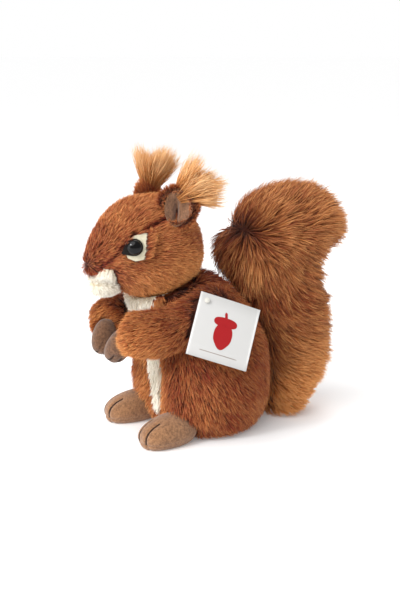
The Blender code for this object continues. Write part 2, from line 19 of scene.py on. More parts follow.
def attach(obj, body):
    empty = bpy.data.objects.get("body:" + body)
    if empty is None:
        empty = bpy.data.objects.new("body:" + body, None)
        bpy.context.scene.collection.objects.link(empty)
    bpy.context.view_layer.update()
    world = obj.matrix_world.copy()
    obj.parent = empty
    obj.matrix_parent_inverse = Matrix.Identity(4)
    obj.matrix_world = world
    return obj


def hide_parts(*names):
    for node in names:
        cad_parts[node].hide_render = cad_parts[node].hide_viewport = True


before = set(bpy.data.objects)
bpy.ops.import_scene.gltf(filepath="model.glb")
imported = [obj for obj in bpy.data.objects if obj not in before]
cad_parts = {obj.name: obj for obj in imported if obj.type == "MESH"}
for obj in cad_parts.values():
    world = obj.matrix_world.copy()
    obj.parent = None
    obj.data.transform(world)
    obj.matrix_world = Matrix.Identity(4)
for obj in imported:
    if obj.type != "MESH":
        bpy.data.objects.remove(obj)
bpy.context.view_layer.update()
LOG = logging.getLogger("squirrel")
MM = 0.001
# A coat's UV map: root to tip along U, the fibre's shade along V
COAT_MAP = "OFBake"
# Half a fibre's width in that map, so that its faces have an area there
MAP_EDGE = 0.0012
# How far the fibres' shades keep from that map's edges
MAP_MARGIN = 0.012
# The lowest that a fibre's points may lie
FLOOR_CLEARANCE = 0.2 * MM
# Sizes of a coat's broad and fine wander, and how strong the fine one is beside the other
BROAD_WANDER, FINE_WANDER, FINE_SHARE = 9 * MM, 3.2 * MM, 0.6
# Size of the patches in which fibres are paler or darker together
SHADE_PATCH = 4 * MM
# Spread of the fibres' directions, and of the way that their flat sides face
JITTER, SIDE_SPREAD = 0.10, 0.25
# The most that a fibre is rolled about its own line, in radians
ROLL = 0.6
# The least and the most of the full length, and of the width, that a fibre has
LENGTHS, WIDTHS = (0.7, 1.15), (0.75, 1.25)
# How far a crimped fibre's wave turns from root to tip, in radians
WAVE_TURN = 5.2
# Half the width of the sewn line between two fingers or toes
LINE_WIDTH = 0.75 * MM
# Where such a line starts and where it is at its full depth, from the paw's middle, and
# the place on the middle line that it pulls towards, all as shares of the paw's length
LINE_START, LINE_FULL, LINE_PULL = 0.14, 0.24, 0.18

Array = np.ndarray
Field = Callable[[Array], Array]
Colour = tuple[float, float, float, float]


class Side(Enum):
    """A side of the toy, by the sign of its X."""

    LEFT = 1
    RIGHT = -1

    @property
    def suffix(self) -> str:
        """The end of the side's node names."""
        return self.name.lower()


def colour(code: str) -> Colour:
    """Turns an sRGB hex colour to linear values.

    Args:
        code: Six hex digits.

    Returns:
        Red, green, blue and an alpha of one.
    """
    parts = [int(code[i : i + 2], 16) / 255 for i in (0, 2, 4)]
    linear = [p / 12.92 if p <= 0.04045 else ((p + 0.055) / 1.055) ** 2.4 for p in parts]
    return (linear[0], linear[1], linear[2], 1.0)


def unit(vectors: Array) -> Array:
    """Vectors divided by their own lengths."""
    return vectors / np.maximum(np.linalg.norm(vectors, axis=-1, keepdims=True), 1e-12)


def dot(first: Array, second: Array) -> Array:
    """The dot product of each pair of vectors, with its axis kept."""
    return (first * second).sum(-1, keepdims=True)


def step(value: Array, low: float, high: float) -> Array:
    """A smooth rise from 0 at low to 1 at high."""
    t = np.clip((value - low) / (high - low), 0.0, 1.0)
    return t * t * (3 - 2 * t)


def bump(value: Array, middle: float, width: float) -> Array:
    """A bell of height 1 around a middle."""
    return np.exp(-(((value - middle) / width) ** 2))


def lattice(cells: Array, seed: float) -> Array:
    """A repeatable number from 0 to 1 for each whole-number cell, by a folded sine."""
    folded = np.sin(cells @ np.array([12.9898, 78.233, 37.719]) + seed * 3.17) * 43758.5453
    return folded - np.floor(folded)


def noise(points: Array, size: float, seed: float) -> Array:
    """Smooth value noise: lattice numbers blended over each cell of a given size.

    Args:
        points: Places, in metres.
        size: Cell size, in metres.
        seed: Picks another pattern.

    Returns:
        Values from -1 to 1.
    """
    scaled = points / size
    base = np.floor(scaled)
    part = scaled - base
    part = part * part * (3 - 2 * part)
    total = np.zeros(len(points))
    for corner in np.ndindex(2, 2, 2):
        at = np.array(corner)
        weight = np.prod(np.where(at == 1, part, 1 - part), axis=1)
        total += weight * lattice(base + at, seed)
    return 2 * total - 1


def drift(points: Array, size: float, seed: float) -> Array:
    """Three noises side by side, as a wandering vector."""
    return np.stack([noise(points, size, seed + i * 11.0) for i in range(3)], axis=1)


def nearest_lock(points: Array, size: float, seed: float) -> Array:
    """The nearest of the scattered lock centres, one in each cell of a given size.

    Args:
        points: Places, in metres.
        size: Cell size, in metres.
        seed: Picks another pattern.

    Returns:
        The centre for each place.
    """
    base = np.floor(points / size)
    best = np.full(len(points), np.inf)
    found = points.copy()
    for corner in np.ndindex(3, 3, 3):
        cell = base + np.array(corner) - 1
        inside = np.stack([lattice(cell, seed + 5.0 * i) for i in range(3)], axis=1)
        centre = (cell + inside) * size
        away = ((centre - points) ** 2).sum(1)
        closer = away < best
        best = np.where(closer, away, best)
        found = np.where(closer[:, None], centre, found)
    return found


def new_mesh(name: str, points: Array, loops: Array, sizes: Array) -> bpy.types.Mesh:
    """Fills a mesh from whole arrays.

    Args:
        name: The mesh's name.
        points: Vertices, one row each.
        loops: Vertex numbers of all faces, end to end.
        sizes: How many corners each face has.

    Returns:
        The finished mesh.
    """
    mesh = bpy.data.meshes.new(name)
    mesh.vertices.add(len(points))
    mesh.vertices.foreach_set("co", np.ascontiguousarray(points, np.float32).ravel())
    mesh.loops.add(len(loops))
    mesh.loops.foreach_set("vertex_index", np.ascontiguousarray(loops, np.int32))
    mesh.polygons.add(len(sizes))
    starts = np.cumsum(sizes) - sizes
    mesh.polygons.foreach_set("loop_start", np.ascontiguousarray(starts, np.int32))
    mesh.update(calc_edges=True)
    mesh.shade_smooth()
    return mesh


def add_map(mesh: bpy.types.Mesh, places: Array) -> None:
    """Gives a coat's mesh its UV map.

    Args:
        mesh: The mesh.
        places: U and V for each face corner.
    """
    layer = mesh.uv_layers.new(name=COAT_MAP)
    layer.data.foreach_set("uv", np.ascontiguousarray(places, np.float32).ravel())


def show(name: str, mesh: bpy.types.Mesh, look: bpy.types.Material) -> bpy.types.Object:
    """Puts a mesh in the scene as an object at the origin.

    Args:
        name: The object's name.
        mesh: Its mesh.
        look: Its material.

    Returns:
        The object.
    """
    mesh.materials.clear()
    mesh.materials.append(look)
    made = bpy.data.objects.new(name, mesh)
    bpy.context.scene.collection.objects.link(made)
    return made


def grid_mesh(name: str, grid: Array, closed: bool = True) -> bpy.types.Mesh:
    """Joins a grid of points into a surface.

    Args:
        name: The mesh's name.
        grid: Points as rows, columns and X, Y, Z.
        closed: Whether the last column joins the first, and doubled points, such as those
            of an end row that is a single point, are made one.

    Returns:
        The surface's mesh, with its faces outwards.
    """
    rows, columns = grid.shape[:2]
    numbers = np.arange(rows * columns).reshape(rows, columns)
    after = np.roll(numbers, -1, axis=1)
    wide = columns if closed else columns - 1
    low, high = numbers[:-1, :wide], numbers[1:, :wide]
    quads = np.stack([low, after[:-1, :wide], after[1:, :wide], high], axis=-1).reshape(-1, 4)
    mesh = new_mesh(name, grid.reshape(-1, 3), quads.ravel(), np.full(len(quads), 4))
    work = bmesh.new()
    work.from_mesh(mesh)
    if closed:
        bmesh.ops.remove_doubles(work, verts=work.verts, dist=1e-7)
    bmesh.ops.recalc_face_normals(work, faces=work.faces)
    work.to_mesh(mesh)
    work.free()
    mesh.shade_smooth()
    return mesh


def basis(t: Array) -> Array:
    """The four uniform cubic B-spline weights at each t from 0 to 1."""
    return np.stack(
        [(1 - t) ** 3, 3 * t**3 - 6 * t**2 + 4, -3 * t**3 + 3 * t**2 + 3 * t + 1, t**3], axis=1
    ) / 6


def soft_form(net: Array, rows: int, columns: int) -> Array:
    """A smooth closed form: a cubic B-spline surface over a net of rings.

    The net is carried past each end by the end ring turned about its own middle, so that
    the surface closes in a smooth pole there.

    Args:
        net: Rings, corners of a ring, and X, Y, Z.
        rows: Points from pole to pole.
        columns: Points round each ring.

    Returns:
        Points as rows, columns and X, Y, Z.
    """
    ends = []
    for ring in (net[0], net[-1]):
        pole = np.broadcast_to(ring.mean(0), ring.shape)
        ends.append((2 * pole - ring, pole))
    full = np.concatenate([[ends[0][0], ends[0][1]], net, [ends[1][1], ends[1][0]]])
    spans = len(full) - 3
    v = np.linspace(0, spans, rows)
    index = np.minimum(v.astype(int), spans - 1)
    weights = basis(v - index)
    along = sum(weights[:, i, None, None] * full[index + i] for i in range(4))
    corners = net.shape[1]
    u = np.arange(columns) / columns * corners
    first = u.astype(int)
    weights = basis(u - first)
    return sum(
        weights[None, :, i, None] * along[:, (first + i - 1) % corners] for i in range(4)
    )


def ring_net(table: Sequence[Sequence[float]], size: Sequence[float], corners: int) -> Array:
    """Rings along Y for a paw.

    A ring's corner at angle a is (w sin a, y, h cos a + rise), widened so that the smooth
    surface drawn through the net keeps the ring's width.

    Args:
        table: For each ring its share of the length, half width, half height and rise.
        size: The paw's width, length and height.
        corners: Corners of a ring.

    Returns:
        Rings, corners, and X, Y, Z.
    """
    spread = 3.0 / (2.0 + cos(2 * pi / corners))
    angle = 2 * pi * (np.arange(corners) + 0.5) / corners
    width, length, height = size
    rings = []
    for along, wide, high, rise in table:
        x = np.sin(angle) * spread * wide * width
        z = np.cos(angle) * spread * high * height + rise * height
        rings.append(np.stack([x, np.full(corners, (along - 0.5) * length), z], axis=1))
    return np.array(rings)


def place(grid: Array, matrix: Matrix) -> Array:
    """Points moved from a piece's own frame to the toy's."""
    m = np.array(matrix)
    return grid @ m[:3, :3].T + m[:3, 3]


def axes(origin: Sequence[float], forward: Sequence[float], up: Sequence[float]) -> Matrix:
    """A piece's own frame.

    Args:
        origin: Its place, in millimetres.
        forward: Where its Y looks.
        up: The way that its Z leans to, as near as it can.

    Returns:
        The matrix from the piece's frame to the toy's.
    """
    y = Vector(forward).normalized()
    x = y.cross(Vector(up)).normalized()
    turn = Matrix((x, y, x.cross(y))).transposed().to_4x4()
    return Matrix.Translation(Vector(origin) * MM) @ turn


def mirror(point: Sequence[float], side: Side) -> tuple[float, float, float]:
    """A point or direction given for the left side, on either side."""
    return (point[0] * side.value, point[1], point[2])


class Shader:
    """Builds one material's nodes."""

    def __init__(self, name: str) -> None:
        """Starts a material with its Principled shader.

        Args:
            name: The material's name.
        """
        self.material = bpy.data.materials.new(name)
        self.material.use_nodes = True
        self.tree = self.material.node_tree
        self.principled = self.tree.nodes["Principled BSDF"]

    def add(self, kind: str, settings: dict | None = None, **links: object) -> bpy.types.Node:
        """Adds a node with its settings and links.

        Args:
            kind: The node's type.
            settings: Properties of the node, by name.
            **links: Sockets by name, underscores for blanks: an output to link or a value.

        Returns:
            The new node.
        """
        node = self.tree.nodes.new(kind)
        for key, value in (settings or {}).items():
            setattr(node, key, value)
        self.feed(node, **links)
        return node

    def feed(self, node: bpy.types.Node, **links: object) -> None:
        """Sets or links a node's inputs.

        Args:
            node: The node.
            **links: Sockets by name, underscores for blanks, or by i and a number: an output
                to link or a value.
        """
        for key, value in links.items():
            index = int(key[1:]) if key[0] == "i" and key[1:].isdigit() else key.replace("_", " ")
            socket = node.inputs[index]
            if isinstance(value, bpy.types.NodeSocket):
                self.tree.links.new(value, socket)
            else:
                socket.default_value = value

    def ramp(
        self, factor: bpy.types.NodeSocket, stops: Sequence[tuple[float, str]]
    ) -> bpy.types.NodeSocket:
        """A colour ramp over a factor.

        Args:
            factor: The value to look up.
            stops: Positions and hex colours.

        Returns:
            The colour output.
        """
        node = self.add("ShaderNodeValToRGB", Fac=factor)
        band = node.color_ramp
        for i, (at, code) in enumerate(stops):
            spot = band.elements[i] if i < 2 else band.elements.new(at)
            spot.position = at
            spot.color = colour(code)
        return node.outputs["Color"]


@dataclass(frozen=True)
class Pile:
    """Acrylic pile fibre, dyed and combed.

    Each fibre is darker at its root and bleached at its tip, so a coat looks deep brown
    from straight on and golden along its outline.

    Attributes:
        name: The material's name.
        dark: Hex colours at the root, the middle and the tip of the darkest fibre.
        light: The same for the palest one.
        roughness: How matt it is.
        sheen: Its bloom.
    """

    name: str
    dark: tuple[str, str, str]
    light: tuple[str, str, str]
    roughness: float = 0.62
    sheen: float = 0.12

    def material(self) -> bpy.types.Material:
        """Builds the fibre's material, which mixes the two ramps by the map's shade.

        Returns:
            The material.
        """
        look = Shader(self.name)
        chart = look.add("ShaderNodeUVMap", {"uv_map": COAT_MAP})
        split = look.add("ShaderNodeSeparateXYZ", Vector=chart.outputs["UV"])
        along, shade = split.outputs["X"], split.outputs["Y"]
        spots = (0.0, 0.45, 1.0)
        dark = look.ramp(along, tuple(zip(spots, self.dark)))
        light = look.ramp(along, tuple(zip(spots, self.light)))
        mixed = look.add("ShaderNodeMix", {"data_type": "RGBA"}, i0=shade, i6=dark, i7=light)
        look.feed(
            look.principled,
            Base_Color=mixed.outputs[2],
            Roughness=self.roughness,
            Sheen_Weight=self.sheen,
            Sheen_Roughness=0.5,
            Specular_IOR_Level=0.25,
        )
        return look.material


@dataclass(frozen=True)
class Cloth:
    """A short-napped cloth: velour, felt or the knitted backing under a pile.

    Its nap stands up, so it is matt, with a soft bloom and a fine mottle where it was
    brushed one way or the other.

    Attributes:
        name: The material's name.
        low: Hex colour in the mottle's darkest spots.
        high: Hex colour in its palest ones.
        mottle_mm: Size of the broad mottle.
        nap_mm: Size of the nap's grain, as coarse as it needs to be to show.
        depth_mm: Depth of the grain.
        sheen: Its bloom.
    """

    name: str
    low: str
    high: str
    mottle_mm: float
    nap_mm: float
    depth_mm: float
    sheen: float = 0.3

    def material(self) -> bpy.types.Material:
        """Builds the cloth's material.

        Returns:
            The material.
        """
        look = Shader(self.name)
        chart = look.add("ShaderNodeTexCoord").outputs["Object"]
        broad = look.add(
            "ShaderNodeTexNoise", Vector=chart, Scale=1 / (self.mottle_mm * MM), Detail=3.0
        )
        fine = look.add(
            "ShaderNodeTexNoise", Vector=chart, Scale=1 / (self.nap_mm * MM), Detail=2.0
        )
        blend = look.add(
            "ShaderNodeMix",
            {"data_type": "FLOAT"},
            i0=0.45,
            i2=broad.outputs["Fac"],
            i3=fine.outputs["Fac"],
        )
        tint = look.ramp(blend.outputs[0], ((0.34, self.low), (0.66, self.high)))
        relief = look.add(
            "ShaderNodeBump",
            Height=fine.outputs["Fac"],
            Strength=0.6,
            Distance=self.depth_mm * MM,
        )
        look.feed(
            look.principled,
            Base_Color=tint,
            Roughness=0.9,
            Normal=relief.outputs["Normal"],
            Sheen_Weight=self.sheen,
            Sheen_Roughness=0.6,
            Specular_IOR_Level=0.15,
        )
        return look.material


@dataclass(frozen=True)
class Smooth:
    """A moulded or coated surface with one colour: eye plastic, card, ink or nylon.

    Attributes:
        name: The material's name.
        tint: Its hex colour.
        roughness: How matt it is.
        specular: How strong its shine is.
        grain_mm: Size of its unevenness.
        grain_depth_mm: Depth of its unevenness.
    """

    name: str
    tint: str
    roughness: float
    specular: float = 0.5
    grain_mm: float = 0.8
    grain_depth_mm: float = 0.01

    def material(self) -> bpy.types.Material:
        """Builds the material, with a faint unevenness in its shine.

        Returns:
            The material.
        """
        look = Shader(self.name)
        chart = look.add("ShaderNodeTexCoord").outputs["Object"]
        grain = look.add(
            "ShaderNodeTexNoise", Vector=chart, Scale=1 / (self.grain_mm * MM), Detail=2.0
        )
        relief = look.add(
            "ShaderNodeBump",
            Height=grain.outputs["Fac"],
            Strength=0.3,
            Distance=self.grain_depth_mm * MM,
        )
        look.feed(
            look.principled,
            Base_Color=colour(self.tint),
            Roughness=self.roughness,
            Normal=relief.outputs["Normal"],
            Specular_IOR_Level=self.specular,
        )
        return look.material


# Long-staple acrylic plush for the body, cut level and brushed back
BODY_PILE = Pile("body_plush", ("2a0e08", "742410", "a03616"), ("602c14", "c26a34", "fcba70"))
# The same yarn left long and crimped for the tail
TAIL_PILE = Pile("tail_plush", ("2c0f07", "682812", "984418"), ("6c3814", "d07c3a", "fcbe78"))
# Loose hair with a slight wave, paler than the coat
TUFT_PILE = Pile("tuft_hair", ("9a5828", "cc8842", "eab070"), ("c88848", "f0bc80", "fce2b4"))
# Short undyed plush
CREAM_PILE = Pile(
    "cream_plush", ("ecdfc2", "f6ecd6", "fdf6e6"), ("f4e9d2", "fbf4e6", "fffbf2"), 0.7, 0.2
)
# Knitted backing, seen only between the fibres
BACKING = Cloth("brown_backing", "341409", "4c1e0e", 6.0, 0.8, 0.2, 0.1)
CREAM_BACKING = Cloth("cream_backing", "d6c8a8", "ece2cc", 6.0, 0.8, 0.2, 0.1)
# Short upright nap, shaved, and darker on the hands and in the ears
VELOUR = Cloth("tan_velour", "724d32", "aa7c55", 1.5, 0.7, 0.5)
HAND_VELOUR = Cloth("hand_velour", "4a2f1d", "7c563b", 1.5, 0.7, 0.5)
LINING = Cloth("ear_velour", "52341f", "8e6548", 1.6, 0.7, 0.5)
# Pressed wool felt: hairs lie every way, and the cut edge is crisp
CREAM_FELT = Cloth("cream_felt", "c4bb9e", "dad2ba", 1.6, 0.5, 0.15)
BLACK_FELT = Cloth("black_felt", "0e0a08", "1c1411", 1.6, 0.5, 0.12, 0.1)
# Twisted polyester thread, pulled tight
THREAD = Cloth("brown_thread", "2e1c12", "4a3224", 2.0, 0.5, 0.1, 0.1)
# Injection-moulded acrylic, polished black
EYE_PLASTIC = Smooth("black_eye_plastic", "030202", 0.05, 0.3, 2.0, 0.002)
# Injection-moulded and left as it comes from the mould
WASHER_PLASTIC = Smooth("white_washer_plastic", "e6e4dc", 0.45)
# Coated white board and its ink
CARD = Smooth("coated_card", "cfcecc", 0.42, 0.4, 0.6, 0.006)
RED_INK = Smooth("red_ink", "a31218", 0.4, 0.4, 0.6, 0.006)
GREY_INK = Smooth("grey_ink", "9b8f88", 0.4, 0.4, 0.6, 0.006)
# Drawn nylon, milky and smooth
NYLON = Smooth("clear_nylon", "d8d5cc", 0.3)


@dataclass
class Skin:
    """The backing cloth of a stuffed piece: a CAD solid, evened out and drawn in.

    Attributes:
        node: The solid's node.
        pile: How far the skin lies below the solid's surface.
        look: The backing's finish.
        voxel: Size of its even mesh.
        relax: How many times it is smoothed.
        points: Its points.
        faces: Its triangles, as point numbers.
        normals: Its normals.
    """

    node: str
    pile: float
    look: Cloth = BACKING
    voxel: float = 2.0 * MM
    relax: int = 5
    points: Array = field(init=False)
    faces: Array = field(init=False)
    normals: Array = field(init=False)

    def build(self) -> None:
        """Copies the solid, meshes it evenly, relaxes it and draws it in by the pile."""
        raw = bpy.data.objects.new(self.node, self.merged())
        bpy.context.scene.collection.objects.link(raw)
        even = raw.modifiers.new("even", "REMESH")
        even.mode = "VOXEL"
        even.voxel_size = self.voxel
        soft = raw.modifiers.new("relax", "SMOOTH")
        soft.factor = 0.5
        soft.iterations = self.relax
        inset = raw.modifiers.new("inset", "DISPLACE")
        inset.mid_level = 0.0
        inset.strength = -self.pile
        again = raw.modifiers.new("settle", "SMOOTH")
        again.factor = 0.5
        again.iterations = 2
        graph = bpy.context.evaluated_depsgraph_get()
        made = bpy.data.meshes.new_from_object(raw.evaluated_get(graph))
        bpy.data.objects.remove(raw)
        made.shade_smooth()
        self.read(made)
        piece = show(f"{self.node}_skin", made, LOOKS[self.look.name])
        finish_piece(piece, self.node)

    def merged(self) -> bpy.types.Mesh:
        """Copies the CAD node's mesh and joins its doubled points.

        Returns:
            The copy.
        """
        work = bmesh.new()
        work.from_mesh(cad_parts[self.node].data)
        bmesh.ops.remove_doubles(work, verts=work.verts, dist=1e-6)
        mesh = bpy.data.meshes.new(self.node)
        work.to_mesh(mesh)
        work.free()
        return mesh

    def read(self, mesh: bpy.types.Mesh) -> None:
        """Keeps a mesh's points, normals and triangles as arrays for the fibres.

        Args:
            mesh: The skin's mesh.
        """
        mesh.calc_loop_triangles()
        count = len(mesh.vertices)
        points = np.empty(count * 3, np.float32)
        mesh.vertices.foreach_get("co", points)
        self.points = points.reshape(-1, 3).astype(float)
        normals = np.empty(count * 3, np.float32)
        mesh.vertices.foreach_get("normal", normals)
        self.normals = normals.reshape(-1, 3).astype(float)
        faces = np.empty(len(mesh.loop_triangles) * 3, np.int32)
        mesh.loop_triangles.foreach_get("vertices", faces)
        self.faces = faces.reshape(-1, 3)

    def bare(self) -> "Skin":
        """Reads the solid's own faces, for fibres on top of a piece that stays as it is.

        Returns:
            The skin itself.
        """
        mesh = self.merged()
        work = bmesh.new()
        work.from_mesh(mesh)
        bmesh.ops.subdivide_edges(work, edges=work.edges, cuts=5, use_grid_fill=True)
        work.to_mesh(mesh)
        work.free()
        self.read(mesh)
        bpy.data.meshes.remove(mesh)
        return self

    def free_faces(self, room: float, neighbours: Sequence[str] | None = None) -> Array:
        """Which faces have room for fur: no other solid lies close in front of them.

        Args:
            room: The clear distance that a face needs.
            neighbours: Nodes to look for, or None for all but this one.

        Returns:
            One truth value for each face.
        """
        names = neighbours or [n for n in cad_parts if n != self.node]
        corners: list[Vector] = []
        polygons: list[tuple[int, ...]] = []
        for name in names:
            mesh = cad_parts[name].data
            start = len(corners)
            corners.extend(v.co.copy() for v in mesh.vertices)
            polygons.extend(tuple(start + i for i in p.vertices) for p in mesh.polygons)
        tree = BVHTree.FromPolygons(corners, polygons)
        middle = self.points[self.faces].mean(1)
        out = unit(self.normals[self.faces].mean(1))
        free = [
            tree.ray_cast(Vector(a), Vector(b), room)[0] is None for a, b in zip(middle, out)
        ]
        return np.array(free)


@dataclass(frozen=True)
class Comb:
    """How a coat's fibres are cut and brushed.

    Attributes:
        width: A fibre's width, drawn coarser than a real one so that it shows.
        lift: How far it stands up at its root, from 0 to 1.
        bend: How far its tip stands off the skin.
        wander: How far the fibres stray from the combed direction.
        lock: Spacing of the locks.
        gather: How far the tips go to their lock's middle.
        curl: Height of a fibre's wave, as a share of its length.
        spans: Pieces along a fibre, 2 for short ones and 3 for long ones.
        mottle: How far the fibres' shades differ.
    """

    width: float
    lift: float = 0.75
    bend: float = 0.35
    wander: float = 0.35
    lock: float = 3.0 * MM
    gather: float = 0.35
    curl: float = 0.0
    spans: int = 2
    mottle: float = 0.17


# Cut level and brushed back, so that it lies close
BODY_COMB = Comb(0.40 * MM, lift=0.46, wander=0.24, lock=2.4 * MM, gather=0.25)
SLEEVE_COMB = replace(BODY_COMB, width=0.38 * MM)
# Shaved shorter on the face, with finer locks
HEAD_COMB = Comb(0.36 * MM, lift=0.40, bend=0.25, wander=0.2, lock=2.0 * MM, gather=0.2)
BROW_COMB = replace(HEAD_COMB, lift=0.18, bend=0.0)
LIP_COMB = Comb(0.32 * MM, lift=0.38, bend=0.12, wander=0.15, lock=1.4 * MM, gather=0.1)
MUZZLE_COMB = Comb(0.30 * MM, lift=0.55, bend=0.5, lock=1.2 * MM, gather=0.2)
BELLY_COMB = Comb(0.44 * MM, lift=0.5)
EAR_COMB = Comb(0.38 * MM, lift=0.40, lock=2.0 * MM, gather=0.2)
# Left long and crimped, in thick locks
TAIL_COMB = Comb(
    0.48 * MM,
    lift=0.42,
    bend=0.16,
    wander=0.4,
    lock=4.5 * MM,
    gather=0.42,
    curl=0.035,
    spans=3,
    mottle=0.19,
)
# Loose hair that clings together in strands
TUFT_COMB = Comb(0.36 * MM, lock=2.4 * MM, gather=0.6, curl=0.05, spans=3)


@dataclass
class Strands:
    """The bent lines of a coat's fibres, one row each.

    Attributes:
        roots: Where they start.
        start: Their first directions.
        end: The directions that they bend to.
        size: Their lengths.
        shade: Their shades, from 0 for dark to 1 for pale.
    """

    roots: Array
    start: Array
    end: Array
    size: Array
    shade: Array


@dataclass
class Coat:
    """Combed fibres that grow from a skin, as narrow tapered ribbons.

    A fibre starts in the direction between the skin's normal and the combed direction,
    and bends over towards the combed one. Its tip is drawn to its lock's middle, and the
    locks wander with a noise, so that the coat parts and gathers as brushed plush does.

    Attributes:
        name: The piece's name.
        skin: What the fibres grow from.
        look: Their finish.
        comb: How they are cut and brushed.
        count: How many there are.
        length: Their full length.
        flow: The combed direction at each root.
        shade: The shade at each root.
        room: The clear distance that a fibre needs in front of its root.
        keep: Where fibres may grow, if not everywhere.
        reach: The share of the full length at each root, if not 1.
        thick: How densely they grow, if not evenly.
        neighbours: The nodes that they leave room for, if not all.
        seed: The start of the random draws.
        slot: The name of a material slot, which is not used.
    """

    name: str
    skin: Skin
    look: Pile
    comb: Comb
    count: int
    length: float
    flow: Field
    shade: Field
    room: float = 2.0 * MM
    keep: Field | None = None
    reach: Field | None = None
    thick: Field | None = None
    neighbours: Sequence[str] | None = None
    seed: int = 1
    slot: str = "red_brown_fur"

    def build(self) -> None:
        """Scatters the roots, grows the fibres and dresses them."""
        rng = np.random.default_rng(self.seed)
        roots, normals = self.scatter(rng)
        mesh = fibres(self.name, self.strands(roots, normals, rng), self.comb, rng)
        made = show(self.name, mesh, LOOKS[self.look.name])
        finish_piece(made, None)
        LOG.info("%s: %d fibres", self.name, len(roots))

    def scatter(self, rng: np.random.Generator) -> tuple[Array, Array]:
        """Random roots over the skin's free faces, by area.

        Args:
            rng: The source of chance.

        Returns:
            Roots and the skin's normals there.
        """
        points, faces = self.skin.points, self.skin.faces
        corner = points[faces]
        sides = corner[:, 1] - corner[:, 0], corner[:, 2] - corner[:, 0]
        area = np.linalg.norm(np.cross(*sides), axis=1)
        weight = area * self.skin.free_faces(self.room, self.neighbours)
        middle = corner.mean(1)
        for share_of in (self.keep, self.thick):
            if share_of is not None:
                weight = weight * share_of(middle)
        chosen = rng.choice(len(faces), self.count, p=weight / weight.sum())
        a = np.sqrt(rng.random(self.count))[:, None]
        b = rng.random(self.count)[:, None]
        share = np.concatenate([1 - a, a * (1 - b), a * b], axis=1)[:, :, None]
        roots = (points[faces[chosen]] * share).sum(1)
        normals = unit((self.skin.normals[faces[chosen]] * share).sum(1))
        return roots, normals

    def strands(self, roots: Array, normals: Array, rng: np.random.Generator) -> Strands:
        """Combs the fibres, with a broad and a fine wander and a jitter.

        Args:
            roots: Where they start.
            normals: The skin's normals there.
            rng: The source of chance.

        Returns:
            The fibres' lines.
        """
        comb = self.comb
        combed = self.flow(roots)
        combed = unit(combed - dot(combed, normals) * normals)
        wander = drift(roots, BROAD_WANDER, self.seed) * comb.wander
        wander += drift(roots, FINE_WANDER, self.seed + 50) * comb.wander * FINE_SHARE
        jitter = rng.normal(0, JITTER, roots.shape)
        combed = unit(combed + wander + jitter)
        start = unit(combed * (1 - comb.lift) + normals * comb.lift + jitter * 0.5)
        end = unit(combed + normals * comb.bend)
        size = self.length * rng.uniform(*LENGTHS, len(roots))
        if self.reach is not None:
            size = size * self.reach(roots)
        shade = self.shade(roots) + rng.normal(0, comb.mottle, len(roots))
        shade += comb.mottle * noise(roots, SHADE_PATCH, self.seed + 7)
        return Strands(roots, start, end, size, shade)


# Shares of the length and of the width at each step along a fibre, by its pieces
TAPERS = {
    2: ((0.0, 0.55, 1.0), (0.8, 0.9, 0.0)),
    3: ((0.0, 0.42, 0.76, 1.0), (0.75, 1.0, 0.62, 0.0)),
}


def centre_lines(strands: Strands, comb: Comb, side: Array, locks: Array) -> Array:
    """Points along the fibres' middles.

    A line's point at share s is root + length * (s * start + s^2 / 2 * (end - start)), with
    a sideways wave for curl, and is then drawn towards its lock's line by gather * s^1.2.

    Args:
        strands: The fibres' lines.
        comb: How they are brushed.
        side: The direction across each fibre.
        locks: The middle of each fibre's lock.

    Returns:
        Points as fibres, steps and X, Y, Z.
    """
    s = np.array(TAPERS[comb.spans][0])[None, :, None]
    start, size = strands.start[:, None], strands.size[:, None, None]
    line = strands.roots[:, None] + size * (
        s * start + 0.5 * s**2 * (strands.end - strands.start)[:, None]
    )
    if comb.curl > 0.0:
        phase = (lattice(np.floor(locks / comb.lock), 9.0) * 2 * pi)[:, None, None]
        wave = np.sin(s * WAVE_TURN + phase) - np.sin(phase)
        line += side[:, None] * wave * (comb.curl * size)
    pull = (locks - strands.roots)[:, None] * comb.gather * s**1.2
    return line + (pull - dot(pull, start) * start)


